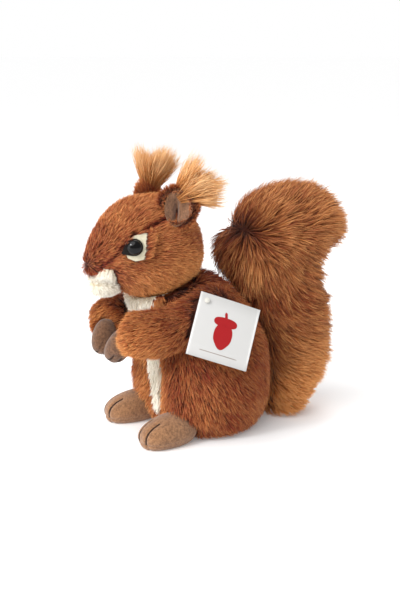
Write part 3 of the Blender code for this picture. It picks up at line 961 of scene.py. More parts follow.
def fibres(
    name: str, strands: Strands, comb: Comb, rng: np.random.Generator
) -> bpy.types.Mesh:
    """Tapered ribbons along the fibres' lines, each rolled a little about its own.

    Args:
        name: The mesh's name.
        strands: The fibres' lines.
        comb: How they are cut and brushed.
        rng: The source of chance.

    Returns:
        The ribbons' mesh with its map.
    """
    roots, start, end = strands.roots, strands.start, strands.end
    shares, widths = (np.array(values) for values in TAPERS[comb.spans])
    count, spans = len(roots), comb.spans
    locks = nearest_lock(roots, comb.lock, 3.0)
    side = unit(np.cross(start, end) + rng.normal(0, SIDE_SPREAD, start.shape))
    line = centre_lines(strands, comb, side, locks)
    roll = rng.uniform(-ROLL, ROLL, (count, 1))
    across = unit(np.cross(start, unit(roots - locks + 1e-9)) * 0.2 + side)
    outward = unit(np.cross(end, across))
    across = across * np.cos(roll) + outward * np.sin(roll)
    uneven = rng.uniform(*WIDTHS, count)[:, None, None]
    half = comb.width * 0.5 * uneven * widths[None, :, None]
    left = line - across[:, None] * half
    right = line + across[:, None] * half
    points = np.concatenate([left[:, :spans], right[:, :spans], line[:, spans:]], axis=1)
    points[..., 2] = np.maximum(points[..., 2], FLOOR_CLEARANCE)
    low = np.arange(spans - 1)
    quads = np.stack([low, spans + low, spans + low + 1, low + 1], axis=1).ravel()
    pattern = np.concatenate([quads, [spans - 1, 2 * spans - 1, 2 * spans]])
    base = (np.arange(count) * (2 * spans + 1))[:, None]
    sizes = np.tile(np.append(np.full(spans - 1, 4), 3), count)
    mesh = new_mesh(name, points.reshape(-1, 3), (base + pattern).ravel(), sizes)
    v = MAP_MARGIN + (1 - 2 * MAP_MARGIN) * np.clip(strands.shade, 0.0, 1.0)
    u = shares[np.where(pattern < spans, pattern, pattern - spans)]
    edge = np.where(pattern < spans, -1, np.where(pattern < 2 * spans, 1, 0)) * MAP_EDGE
    level = np.broadcast_to(u, (count, len(u)))
    places = np.stack([level, v[:, None] + edge[None, :]], axis=-1)
    add_map(mesh, places.reshape(-1, 2))
    return mesh


def finish_piece(
    made: bpy.types.Object, node: str | None
) -> None:
    """Hangs a piece on the toy's root and hides the CAD node that it replaces, if any.

    Args:
        made: The piece.
        node: The CAD node that it replaces, if any.
    """
    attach(made, "root")
    if node is not None:
        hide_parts(node)


LOOKS = {
    finish.name: finish.material()
    for finish in (
        BODY_PILE,
        TAIL_PILE,
        TUFT_PILE,
        CREAM_PILE,
        BACKING,
        CREAM_BACKING,
        VELOUR,
        HAND_VELOUR,
        LINING,
        CREAM_FELT,
        BLACK_FELT,
        THREAD,
        EYE_PLASTIC,
        WASHER_PLASTIC,
        CARD,
        RED_INK,
        GREY_INK,
        NYLON,
    )
}


def repaint(node: str, look: Cloth | Smooth) -> None:
    """Gives a CAD node that keeps its shape its real finish.

    Args:
        node: The node's name.
        look: Its finish.
    """
    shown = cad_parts[node]
    shown.data.materials.clear()
    shown.data.materials.append(LOOKS[look.name])


def speckled(level: float, height: float, size: float, seed: float) -> Field:
    """A shade that wanders around one level.

    Args:
        level: The mean shade.
        height: How far it strays.
        size: Size of the patches, in metres.
        seed: Picks another pattern.

    Returns:
        The shade as a field over the roots.
    """

    def shade(roots: Array) -> Array:
        """The level plus a smooth noise."""
        return level + height * noise(roots, size, seed)

    return shade


def clear_of_tag(points: Array) -> Array:
    """Keeps fibres from growing through the swing tag.

    Args:
        points: Places on a skin.

    Returns:
        0 behind the card and 1 elsewhere.
    """
    tag = SwingTag()
    inverse = np.array(tag.matrix().inverted())
    local = points @ inverse[:3, :3].T + inverse[:3, 3]
    across, off, up = abs(local[:, 0]), local[:, 1], abs(local[:, 2])
    half = tag.side / 2
    return 1.0 - ((across < half) & (up < half) & (off > -tag.shadow))


@dataclass
class Body:
    """The stuffed trunk with its haunches, its cream belly panel and their coats.

    Attributes:
        pile: How far the trunk's skin lies below the fur's outside.
        fibre: Length of the plush.
        fibres: How many fibres the trunk has.
        panel_pile: How far the panel's skin lies below the fur's outside.
        panel_fibre: Length of the cream plush.
        panel_fibres: How many fibres the panel has.
        collar_fibres: How many brown fibres cover the outer ends of the bib.
        bib_half: Half the open width of the bib, at its top.
        bib_top: Height where the bib is that wide.
        bib_taper: How much narrower it gets for each unit down.
        bib_bottom: Height below which brown plush leaves the panel free.
    """

    pile: float = 2.6 * MM
    fibre: float = 6.2 * MM
    fibres: int = 56000
    panel_pile: float = 0.6 * MM
    panel_fibre: float = 4.6 * MM
    panel_fibres: int = 7000
    collar_fibres: int = 2500
    bib_half: float = 0.0145
    bib_top: float = 0.080
    bib_taper: float = 0.35
    bib_bottom: float = 0.066

    def flow(self, roots: Array) -> Array:
        """Down and back over the haunches, down and a little outwards in front.

        Args:
            roots: Where the fibres start.

        Returns:
            The combed directions.
        """
        x, y, _ = roots.T
        back = step(y, -0.035, 0.01)
        out = np.sign(x) * (0.25 - 0.1 * back)
        return np.stack([out, 0.15 + 0.55 * back, np.full_like(y, -1.0)], axis=1)

    def shade(self, roots: Array) -> Array:
        """Pale beside the panel and low at the back, with painted shade in the fold of the neck.

        Args:
            roots: Where the fibres start.

        Returns:
            Shades, from 0 for dark to 1 for pale.
        """
        x, y, z = roots.T
        mottle = 0.14 * noise(roots, 16 * MM, 3.0)
        beside_panel = 0.60 * bump(abs(x), 0.011, 0.009) * step(-y, 0.018, 0.034)
        low_back = 0.12 * step(y, 0.0, 0.04) * step(-z, -0.04, 0.0)
        # Painted shade: darker in the fold of the neck, under the head
        neck = 0.16 * step(z, 0.075, 0.092)
        return 0.34 + mottle + beside_panel + low_back - neck

    def collar(self, points: Array) -> Array:
        """Where brown plush covers the outer ends of the bib.

        Args:
            points: Places on the panel.

        Returns:
            1 where it grows and 0 elsewhere.
        """
        x, _, z = points.T
        edge = self.bib_half - self.bib_taper * (self.bib_top - z)
        return ((abs(x) > edge) & (z > self.bib_bottom)).astype(float)

    def open_panel(self, points: Array) -> Array:
        """Where the panel's own cream plush shows."""
        return 1.0 - self.collar(points)

    def build(self) -> None:
        """Builds the trunk, the panel and their coats."""
        skin = Skin("torso", self.pile, voxel=2.6 * MM)
        skin.build()
        Coat(
            "torso_fur",
            skin,
            BODY_PILE,
            BODY_COMB,
            count=self.fibres,
            length=self.fibre,
            flow=self.flow,
            shade=self.shade,
            keep=clear_of_tag,
            seed=11,
        ).build()
        panel = Skin("belly_panel", self.panel_pile, CREAM_BACKING, voxel=1.2 * MM, relax=2)
        panel.build()
        Coat(
            "belly_fur",
            panel,
            CREAM_PILE,
            BELLY_COMB,
            count=self.panel_fibres,
            length=self.panel_fibre,
            flow=self.flow,
            shade=speckled(0.6, 0.2, 8 * MM, 4.0),
            keep=self.open_panel,
            seed=12,
            slot="cream_fur",
        ).build()
        Coat(
            "collar_fur",
            panel,
            BODY_PILE,
            BODY_COMB,
            count=self.collar_fibres,
            length=self.fibre,
            flow=self.flow,
            shade=self.shade,
            keep=self.collar,
            seed=13,
        ).build()


@dataclass
class Head:
    """The head with its plush, the cream muzzle and the sewn lines of the face.

    Attributes:
        pile: How far the head's skin lies below the fur's outside.
        fibre: Length of the plush.
        fibres: How many fibres the head has.
        lip_fibre: Length of the cream plush beside the nose.
        lip_fibres: How many fibres it has.
        brow_fibre: Length of the brown plush that covers the felt outside the opening.
        brow_fibres: How many fibres it has on each side.
        muzzle_pile: How far the muzzle's skin lies below the fur's outside.
        muzzle_fibre: Length of the muzzle's plush.
        muzzle_fibres: How many fibres the muzzle has.
        nose: The point that the plush is combed away from.
        brow: The point that the muzzle's plush is combed away from.
        lip_top: Height of the cream plush beside the nose.
        seam_line: Y and Z of the sewn line from the muzzle by the eye to the ear.
        opening: Y and Z, in millimetres, of the opening that the felt shows in.
    """

    pile: float = 2.4 * MM
    fibre: float = 5.2 * MM
    fibres: int = 54000
    lip_fibre: float = 5.6 * MM
    lip_fibres: int = 4600
    brow_fibre: float = 4.6 * MM
    brow_fibres: int = 900
    muzzle_pile: float = 0.9 * MM
    muzzle_fibre: float = 3.2 * MM
    muzzle_fibres: int = 9000
    nose: tuple[float, float, float] = (0.0, -0.084, 0.097)
    brow: tuple[float, float, float] = (0.0, -0.070, 0.108)
    lip_top: float = 0.1012
    seam_line: tuple[tuple[float, float], ...] = (
        (-0.0700, 0.0985),
        (-0.0646, 0.1025),
        (-0.0572, 0.1115),
        (-0.0435, 0.1218),
        (-0.0321, 0.1272),
    )
    opening: tuple[tuple[float, float], ...] = (
        (-44.6, 120.8),
        (-51.8, 119.4),
        (-54.6, 116.2),
        (-56.4, 111.0),
        (-55.2, 107.9),
        (-51.6, 106.2),
        (-47.2, 106.4),
        (-45.6, 114.3),
    )

    def seam(self, points: Array) -> Array:
        """How near a point is to the sewn line from the muzzle by the eye to the ear.

        Args:
            points: Places on the head.

        Returns:
            1 on the line, falling to 0 about two millimetres from it.
        """
        x, y, z = points.T
        line = np.interp(y, *np.array(self.seam_line).T)
        side = step(abs(x), 0.004, 0.008)
        ends = step(y, -0.074, -0.070) * step(-y, 0.028, 0.032)
        return bump(z, line, 1.5 * MM) * side * ends

    def flow(self, roots: Array) -> Array:
        """Back from the nose, and down over the cheeks and under the nose's tip.

        Args:
            roots: Where the fibres start.

        Returns:
            The combed directions.
        """
        away = unit(roots - np.array(self.nose))
        _, y, z = roots.T
        cheek = 0.55 * step(-z, -0.118, -0.096) * step(y, -0.066, -0.04)
        tip = step(-y, 0.065, 0.071) * step(-z, -0.104, -0.098)
        away[:, 2] -= cheek + 1.8 * tip
        away[:, 1] -= 0.6 * tip
        away[:, 1] += 0.25
        return away

    def shade(self, roots: Array) -> Array:
        """Golden on the cheek, dark along the seams and at the nose.

        Args:
            roots: Where the fibres start.

        Returns:
            Shades, from 0 for dark to 1 for pale.
        """
        _, y, z = roots.T
        mottle = 0.12 * noise(roots, 14 * MM, 8.0) + 0.14 * noise(roots, 8 * MM, 2.0)
        cheek = 0.30 * step(-z, -0.106, -0.092) * step(y, -0.062, -0.03)
        cheek_edge = 0.40 * step(-z, -0.116, -0.098) * step(y, -0.036, -0.018)
        nose = 0.20 * step(-y, 0.056, 0.074)
        return 0.48 + mottle + cheek + cheek_edge - nose - 0.60 * self.seam(roots)

    def length(self, roots: Array) -> Array:
        """Short on the nose but at its tip, longer towards the neck, short in the seams.

        Args:
            roots: Where the fibres start.

        Returns:
            Shares of the full length.
        """
        y = roots[:, 1]
        value = 0.76 + 0.31 * step(y, -0.076, -0.045) + 0.30 * step(-y, 0.066, 0.071)
        return value * (1 - 0.5 * self.seam(roots))

    def thickness(self, points: Array) -> Array:
        """Fewer fibres in the seams."""
        return 1 - 0.8 * self.seam(points)

    def clear_of_eyes(self, points: Array) -> Array:
        """Leaves the felt around the eyes free, inside the opening.

        A point is inside when it lies to the left of each edge, taken in order.

        Args:
            points: Places on the head or the felt.

        Returns:
            0 in the opening and 1 elsewhere.
        """
        outline = np.array(self.opening) * MM
        inside = np.ones(len(points), bool)
        for (y0, z0), (y1, z1) in zip(outline, np.roll(outline, -1, axis=0)):
            turn = (y1 - y0) * (points[:, 2] - z0) - (z1 - z0) * (points[:, 1] - y0)
            inside &= turn > 0
        return 1.0 - inside

    def lip(self, points: Array) -> Array:
        """Where undyed plush runs from the muzzle up beside the nose, on both sides.

        Args:
            points: Places on the head.

        Returns:
            1 below the slanted top edge and before the slanted back edge, 0 elsewhere.
        """
        x, y, z = points.T
        top = np.minimum(self.lip_top, 0.0950 + 0.67 * abs(x))
        return ((z < top) & (y < -0.0600 + 0.574 * (0.1010 - z))).astype(float)

    def brown(self, points: Array) -> Array:
        """Where the head's own plush grows."""
        return self.clear_of_eyes(points) * (1.0 - self.lip(points))

    def lip_flow(self, roots: Array) -> Array:
        """Down over the muzzle's top, everywhere alike."""
        return np.broadcast_to((0.0, -0.25, -1.0), roots.shape)

    def muzzle_flow(self, roots: Array) -> Array:
        """Down and out from the brow, but upwards where the muzzle meets the lip.

        Args:
            roots: Where the fibres start.

        Returns:
            The combed directions.
        """
        away = unit(roots - np.array(self.brow))
        rise = step(roots[:, 2], 0.0890, 0.0930)[:, None]
        return away * (1 - rise) + np.array((0.0, -0.2, 1.0)) * rise

    def brown_coat(self) -> Skin:
        """Builds the head's skin and its own plush.

        Returns:
            The skin, for the lip's plush.
        """
        skin = Skin("head", self.pile, voxel=1.5 * MM, relax=2)
        skin.build()
        Coat(
            "head_fur",
            skin,
            BODY_PILE,
            HEAD_COMB,
            count=self.fibres,
            length=self.fibre,
            flow=self.flow,
            shade=self.shade,
            reach=self.length,
            keep=self.brown,
            thick=self.thickness,
            room=1.6 * MM,
            neighbours=[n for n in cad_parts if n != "head" and not n.startswith("eye")],
            seed=21,
        ).build()
        return skin

    def build(self) -> None:
        """Builds the head, the muzzle and their coats."""
        skin = self.brown_coat()
        Coat(
            "lip_fur",
            skin,
            CREAM_PILE,
            LIP_COMB,
            count=self.lip_fibres,
            length=self.lip_fibre,
            flow=self.lip_flow,
            shade=speckled(0.70, 0.15, 5 * MM, 4.0),
            keep=self.lip,
            room=0.5 * MM,
            seed=23,
            slot="cream_fur",
        ).build()
        for side in Side:
            Coat(
                f"brow_fur_{side.suffix}",
                Skin(f"eye_patch_{side.suffix}", 0.0).bare(),
                BODY_PILE,
                BROW_COMB,
                count=self.brow_fibres,
                length=self.brow_fibre,
                flow=self.flow,
                shade=self.shade,
                keep=self.clear_of_eyes,
                neighbours=("head", f"eye_{side.suffix}"),
                room=3.0 * MM,
                seed=24,
            ).build()
        muzzle = Skin("muzzle", self.muzzle_pile, CREAM_BACKING, voxel=0.9 * MM, relax=3)
        muzzle.build()
        Coat(
            "muzzle_fur",
            muzzle,
            CREAM_PILE,
            MUZZLE_COMB,
            count=self.muzzle_fibres,
            length=self.muzzle_fibre,
            flow=self.muzzle_flow,
            shade=speckled(0.70, 0.12, 5 * MM, 4.0),
            room=0.8 * MM,
            seed=22,
            slot="cream_fur",
        ).build()


@dataclass
class Ear:
    """A fur cup with its velour lining and the long tuft at its tip.

    Attributes:
        side: The toy's side.
        width: The cup's width.
        height: The cup's height.
        pile: How far the cup's skin lies below the fur's outside.
        place: The cup's middle, in millimetres, on the left side.
        look: Where the left cup looks.
        rise: The way up from the left cup to its tuft.
        fibre: Length of the plush.
        fibres: How many fibres the cup has.
        rim_outer: The rim's radius where its inner edge ends.
        rim_inner: The radius where the fur leans inwards most.
        lining_seat: The dish's middle in the left cup, in millimetres.
        lining_wall: Thickness of the dish's velour.
        lining_margins: From the cup's sides, and from its top and bottom, to the dish.
        lining_depth: Depth of the dish.
        crease_depth: Depth of the crease in it.
        rim_roll: How far its rim is rolled back.
        tuft_place: The tuft's root, in millimetres, on the left side.
        tuft_leans: How far each tuft leans back.
        tuft_length: How far the tuft's fan reaches.
        tuft_width: Width of the fan's broad end.
        tuft_depth: Depth of the fan's broad end.
        tuft_hairs: How many hairs a tuft has.
        tuft_lock: Spacing of the strands that the hairs cling to.
    """

    side: Side
    width: float = 0.0250
    height: float = 0.0260
    pile: float = 0.8 * MM
    place: tuple[float, float, float] = (20.0, -24.5, 133.0)
    look: tuple[float, float, float] = (0.80, -0.56, 0.10)
    rise: tuple[float, float, float] = (0.22, 0.16, 0.96)
    fibre: float = 4.6 * MM
    fibres: int = 6500
    rim_outer: float = 0.0122
    rim_inner: float = 0.0100
    lining_seat: tuple[float, float, float] = (-1.0, 3.8, -0.4)
    lining_wall: float = 0.5 * MM
    lining_margins: tuple[float, float] = (4.3 * MM, 3.2 * MM)
    lining_depth: float = 3.8 * MM
    crease_depth: float = 3.4 * MM
    rim_roll: float = 0.8 * MM
    tuft_place: tuple[float, float, float] = (19.32, -22.19, 138.36)
    tuft_leans: tuple[float, float] = (0.36, -0.40)
    tuft_length: float = 0.0245
    tuft_width: float = 0.0300
    tuft_depth: float = 0.0230
    tuft_hairs: int = 4200
    tuft_lock: float = 4.5 * MM

    def matrix(self) -> Matrix:
        """The ear's place: Y looks out of the cup, Z runs up to the tuft."""
        return axes(*(mirror(v, self.side) for v in (self.place, self.look, self.rise)))

    def lining(self) -> None:
        """A dish of velour, low in the cup, with a deep crease before its middle.

        Its depth at share r of its radius is d (1 - r^2), with a slight wave round it, and
        a high power of r rolls its rim back. The crease is a bell across X, deepest low in
        the dish.
        """
        rows, columns = 22, 44
        r = np.linspace(0.0, 1.0, rows)[:, None]
        angle = np.linspace(0, 2 * pi, columns, endpoint=False)[None, :]
        beside, above = self.lining_margins
        wide, high = self.width * 0.5 - beside, self.height * 0.5 - above
        taper = 0.93 + 0.21 * np.cos(angle)
        x = r * wide * np.sin(angle) * taper
        z = r * high * np.cos(angle)
        crease = bump(x, 1.3 * MM + 0.22 * z, 1.1 * MM) * bump(z, -3.0 * MM, 6.0 * MM)
        wave = 0.4 * MM * np.sin(3 * angle + 1.0) * r**2
        dish = self.lining_depth * (1 - r**2)
        y = wave - dish - self.crease_depth * crease * (1 - r**4) - self.rim_roll * r**8
        grid = np.stack([self.side.value * x, y, z], axis=-1)
        seat = Matrix.Translation(Vector(mirror(self.lining_seat, self.side)) * MM)
        mesh = grid_mesh(f"ear_velour_{self.side.suffix}", place(grid, self.matrix() @ seat))
        made = show(mesh.name, mesh, LOOKS[LINING.name])
        wall = made.modifiers.new("wall", "SOLIDIFY")
        wall.thickness = self.lining_wall
        finish_piece(made, f"ear_lining_{self.side.suffix}")

    def rim_edge(self, roots: Array) -> Array:
        """How near a root is to the rim's inner edge.

        Args:
            roots: Where the fibres start.

        Returns:
            1 at the edge, and 0 on the outside of the cup.
        """
        m = np.array(self.matrix())
        local = (roots - m[:3, 3]) @ m[:3, :3]
        radius = np.hypot(local[:, 0], local[:, 2])
        return step(-radius, -self.rim_outer, -self.rim_inner) * step(local[:, 1], 0.0, 1.5 * MM)

    def flow(self, roots: Array) -> Array:
        """Out over the rim all round and up to the tuft, but inwards at its inner edge.

        Args:
            roots: Where the fibres start.

        Returns:
            The combed directions.
        """
        m = np.array(self.matrix())
        forward, up = m[:3, 1], m[:3, 2]
        out = unit(roots - m[:3, 3])
        inner = self.rim_edge(roots)[:, None]
        away = out + 0.35 * up + 0.8 * forward
        return away * (1 - inner) + (forward - 0.6 * out) * inner

    def reach(self, roots: Array) -> Array:
        """Short fibres at the rim's inner edge."""
        return 1 - 0.55 * self.rim_edge(roots)

    def tuft(self) -> None:
        """Long hairs that fill the tuft's fan.

        A hair at share (u, v) of the round root goes to the same share of the fan's broad
        end, which is lower at its edges, and a few hairs reach past it.
        """
        rng = np.random.default_rng(40 + self.side.value)
        count = self.tuft_hairs
        lean = self.tuft_leans[0 if self.side is Side.LEFT else 1]
        tilt = (0.74, lean, 0.56)
        fan = axes(*(mirror(v, self.side) for v in (self.tuft_place, self.look, tilt)))
        turn = rng.uniform(0, 2 * pi, count)
        share = np.sqrt(rng.uniform(0, 1, count))
        u, v = share * np.cos(turn), share * np.sin(turn)
        length, wide, deep = self.tuft_length, self.tuft_width / 2, self.tuft_depth / 2
        low = np.stack([0.30 * wide * u, 0.30 * deep * v, rng.uniform(-1.5, 2.0, count) * MM], 1)
        top = np.stack([0.95 * wide * u, 0.85 * deep * v, length * (1 - 0.22 * share**2)], 1)
        splay = np.stack([0.65 * u, 0.65 * v, 1.0 - 0.25 * share], 1)
        roots, ends = place(low, fan), place(top, fan)
        cell = np.floor(ends / self.tuft_lock)
        uneven = 0.62 + 0.5 * lattice(cell, 7.0)
        size = np.linalg.norm(ends - roots, axis=1) * uneven * rng.uniform(*LENGTHS, count)
        stray = 0.22 * drift(cell, 1.7, 2.0)
        aim = unit(unit(ends - roots) + stray + rng.normal(0, 0.06, roots.shape))
        out = unit(splay @ np.array(fan)[:3, :3].T)
        droop = np.array([0, 0, -0.22]) * share[:, None]
        last = unit(aim + 0.55 * (out - aim) + droop)
        shade = 0.42 + 0.25 * noise(ends, 5 * MM, 5.0) + rng.normal(0, 0.15, count)
        name = f"tuft_hair_{self.side.suffix}"
        mesh = fibres(name, Strands(roots, aim, last, size, shade), TUFT_COMB, rng)
        made = show(mesh.name, mesh, LOOKS[TUFT_PILE.name])
        finish_piece(made, f"ear_tuft_{self.side.suffix}")

    def build(self) -> None:
        """Builds the ear's cup, coat, lining and tuft."""
        cup = Skin(f"ear_{self.side.suffix}", self.pile, voxel=0.9 * MM, relax=3)
        cup.build()
        Coat(
            f"ear_fur_{self.side.suffix}",
            cup,
            BODY_PILE,
            EAR_COMB,
            count=self.fibres,
            length=self.fibre,
            flow=self.flow,
            shade=speckled(0.46, 0.2, 6 * MM, 2.0),
            reach=self.reach,
            room=1.9 * MM,
            neighbours=(f"ear_lining_{self.side.suffix}",),
            seed=31,
        ).build()
        self.lining()
        self.tuft()


@dataclass
class Eye:
    """A polished black eye on its felt.

    Attributes:
        side: The toy's side.
        place: The middle of the eye's back, in millimetres, on the left side.
        look: Where the left eye looks.
        radius: The dome's radius.
        bulge: Its height over the felt.
        rim: The straight edge below the dome.
        shank: The shank's radius.
        reach: The shank's length.
        columns: Points round the eye.
    """

    side: Side
    place: tuple[float, float, float] = (23.35, -51.70, 113.90)
    look: tuple[float, float, float] = (0.895, -0.421, 0.150)
    radius: float = 0.0040
    bulge: float = 0.0030
    rim: float = 0.0005
    shank: float = 0.0014
    reach: float = 0.0110
    columns: int = 48

    def dome(self) -> Array:
        """The eye's profile, turned about Y: a dome over a narrow rim and the shank.

        The dome's radius at angle a is R cos a, and its height is
        rim + (bulge - rim) sin a.

        Returns:
            Points as rows, columns and X, Y, Z.
        """
        a = np.linspace(0, pi / 2, 15)[1:]
        foot = [0, self.shank, self.shank, self.radius - self.rim, self.radius]
        foot_high = [-self.reach, -self.reach, 0, 0, self.rim]
        radius = np.concatenate([foot, self.radius * np.cos(a)])[:, None]
        high = np.concatenate([foot_high, self.rim + (self.bulge - self.rim) * np.sin(a)])
        turn = np.linspace(0, 2 * pi, self.columns, endpoint=False)
        level = np.broadcast_to(high[:, None], (len(high), self.columns))
        return np.stack([radius * np.cos(turn), level, radius * np.sin(turn)], axis=-1)

    def build(self) -> None:
        """Turns the eye and dresses the felt and the washer."""
        suffix = self.side.suffix
        seat = axes(mirror(self.place, self.side), mirror(self.look, self.side), (0, 0, 1))
        mesh = grid_mesh(f"eye_dome_{suffix}", place(self.dome(), seat))
        mesh.set_sharp_from_angle(angle=radians(50))
        made = show(mesh.name, mesh, LOOKS[EYE_PLASTIC.name])
        finish_piece(made, f"eye_{suffix}")
        repaint(f"eye_patch_{suffix}", CREAM_FELT)
        repaint(f"eye_backing_{suffix}", BLACK_FELT)
        repaint(f"eye_washer_{suffix}", WASHER_PLASTIC)


@dataclass
class Arm:
    """A plush sleeve and its velour hand, sewn into fingers.

    Attributes:
        side: The toy's side.
        pile: How far the sleeve's skin lies below the fur's outside.
        fibre: Length of the plush.
        fibres: How many fibres the sleeve has.
        hand_size: The hand's width, length and thickness.
        hand_place: The hand's middle, in millimetres, on the left side.
        hand_aim: Where the left hand's fingers point.
        hand_rings: Rings along the hand: share of its length, half width, half
            thickness and rise, as shares of its size.
        groove: Depth of the sewn lines.
    """

    side: Side
    pile: float = 2.4 * MM
    fibre: float = 5.6 * MM
    fibres: int = 19000
    hand_size: tuple[float, float, float] = (0.0150, 0.0215, 0.0130)
    hand_place: tuple[float, float, float] = (10.5, -56.0, 57.0)
    hand_aim: tuple[float, float, float] = (-0.33, -0.38, -0.86)
    hand_rings: tuple[tuple[float, ...], ...] = (
        (0.02, 0.26, 0.30, 0.0),
        (0.28, 0.48, 0.50, 0.0),
        (0.72, 0.50, 0.47, 0.0),
        (0.97, 0.28, 0.26, 0.0),
    )
    groove: float = 0.9 * MM

    def flow(self, roots: Array) -> Array:
        """From the shoulder along the sleeve to the wrist, falling a little."""
        return np.broadcast_to(mirror((-0.25, -0.9, -0.35), self.side), roots.shape)

    def shade(self, roots: Array) -> Array:
        """Golden along the underside, a painted rim light along the front towards the wrist,
        darker at the shoulder.

        Args:
            roots: Where the fibres start.

        Returns:
            Shades, from 0 for dark to 1 for pale.
        """
        _, y, z = roots.T
        mottle = 0.15 * noise(roots, 12 * MM, 6.0)
        underside = 0.30 * step(-z, -0.066, -0.056)
        # Painted rim light: paler towards the wrist, along the sleeve's front
        wrist = 0.34 * step(-y, 0.036, 0.052)
        shoulder = 0.12 * step(z, 0.078, 0.088)
        return 0.36 + mottle + underside + wrist - shoulder

    def hand(self) -> None:
        """A velour mitten with two sewn lines pressed into its back."""
        grid = soft_form(ring_net(self.hand_rings, self.hand_size, 8), 40, 56)
        grid = press_lines(grid, self.hand_size, self.groove)
        across = mirror((1, 0, 0), self.side)
        matrix = axes(
            mirror(self.hand_place, self.side), mirror(self.hand_aim, self.side), across
        )
        mesh = grid_mesh(f"hand_velour_{self.side.suffix}", place(grid, matrix))
        made = show(mesh.name, mesh, LOOKS[HAND_VELOUR.name])
        finish_piece(made, f"hand_{self.side.suffix}")

    def build(self) -> None:
        """Builds the sleeve, its coat and the hand."""
        suffix = self.side.suffix
        sleeve = Skin(f"arm_{suffix}", self.pile, voxel=1.6 * MM)
        sleeve.build()
        Coat(
            f"arm_fur_{suffix}",
            sleeve,
            BODY_PILE,
            SLEEVE_COMB,
            count=self.fibres,
            length=self.fibre,
            flow=self.flow,
            shade=self.shade,
            keep=clear_of_tag,
            seed=51,
        ).build()
        self.hand()
        for number in (1, 2):
            repaint(f"finger_thread_{suffix}_{number}", THREAD)


def press_lines(grid: Array, size: Sequence[float], depth: float) -> Array:
    """Presses two sewn lines into the end of a paw.

    The points near X = +-width / 6 go in towards the paw's middle line by a bell of the
    distance, only over the paw's last third.

    Args:
        grid: The paw's points.
        size: Its width, length and height.
        depth: How deep the lines lie.

    Returns:
        The points with the lines pressed in.
    """
    x, y, z = np.moveaxis(grid, -1, 0)
    width, length, _ = size
    deepens = step(y, LINE_START * length, LINE_FULL * length)
    fold = bump(abs(x), width / 6, LINE_WIDTH) * deepens
    pull = np.minimum(y, LINE_PULL * length)
    middle = np.stack([x, pull, np.full_like(z, z.mean())], axis=-1)
    inward = unit(middle - grid)
    return grid + inward * (depth * fold)[..., None]


@dataclass
class Foot:
    """A velour foot with two sewn lines over its toes, flat where it rests.

    Attributes:
        side: The toy's side.
        size: The foot's width, length and height.
        place: The middle of its sole, in millimetres, on the left side.
        toe_out: How far it turns out, in degrees.
        rings: Rings along the foot, as a hand's.
        groove: Depth of the sewn lines.
        seam_rise: Height of the seam round the sole.
        seam_draw: How far the seam draws the foot in, as a share of its size.
    """

    side: Side
    size: tuple[float, float, float] = (0.0230, 0.0350, 0.0190)
    place: tuple[float, float, float] = (24.0, -33.5, 0.0)
    toe_out: float = 4.0
    rings: tuple[tuple[float, ...], ...] = (
        (0.02, 0.30, 0.30, 0.36),
        (0.28, 0.49, 0.58, 0.44),
        (0.72, 0.51, 0.49, 0.36),
        (0.97, 0.32, 0.28, 0.28),
    )
    groove: float = 0.9 * MM
    seam_rise: float = 3.6 * MM
    seam_draw: float = 0.035

    def build(self) -> None:
        """Builds the foot, drawn in along the sole's seam, and dresses its threads."""
        grid = soft_form(ring_net(self.rings, self.size, 8), 46, 64)
        grid = press_lines(grid, self.size, self.groove)
        seam = bump(grid[..., 2], self.seam_rise, 0.6 * MM)
        grid[..., :2] *= 1 - self.seam_draw * seam[..., None]
        grid[..., 2] = np.maximum(grid[..., 2], 0.0)
        toe = radians(self.toe_out)
        aim = mirror((sin(toe), -cos(toe), 0), self.side)
        matrix = axes(mirror(self.place, self.side), aim, (0, 0, 1))
        mesh = grid_mesh(f"foot_velour_{self.side.suffix}", place(grid, matrix))
        made = show(mesh.name, mesh, LOOKS[VELOUR.name])
        finish_piece(made, f"foot_{self.side.suffix}")
        for number in (1, 2):
            repaint(f"toe_thread_{self.side.suffix}_{number}", THREAD)


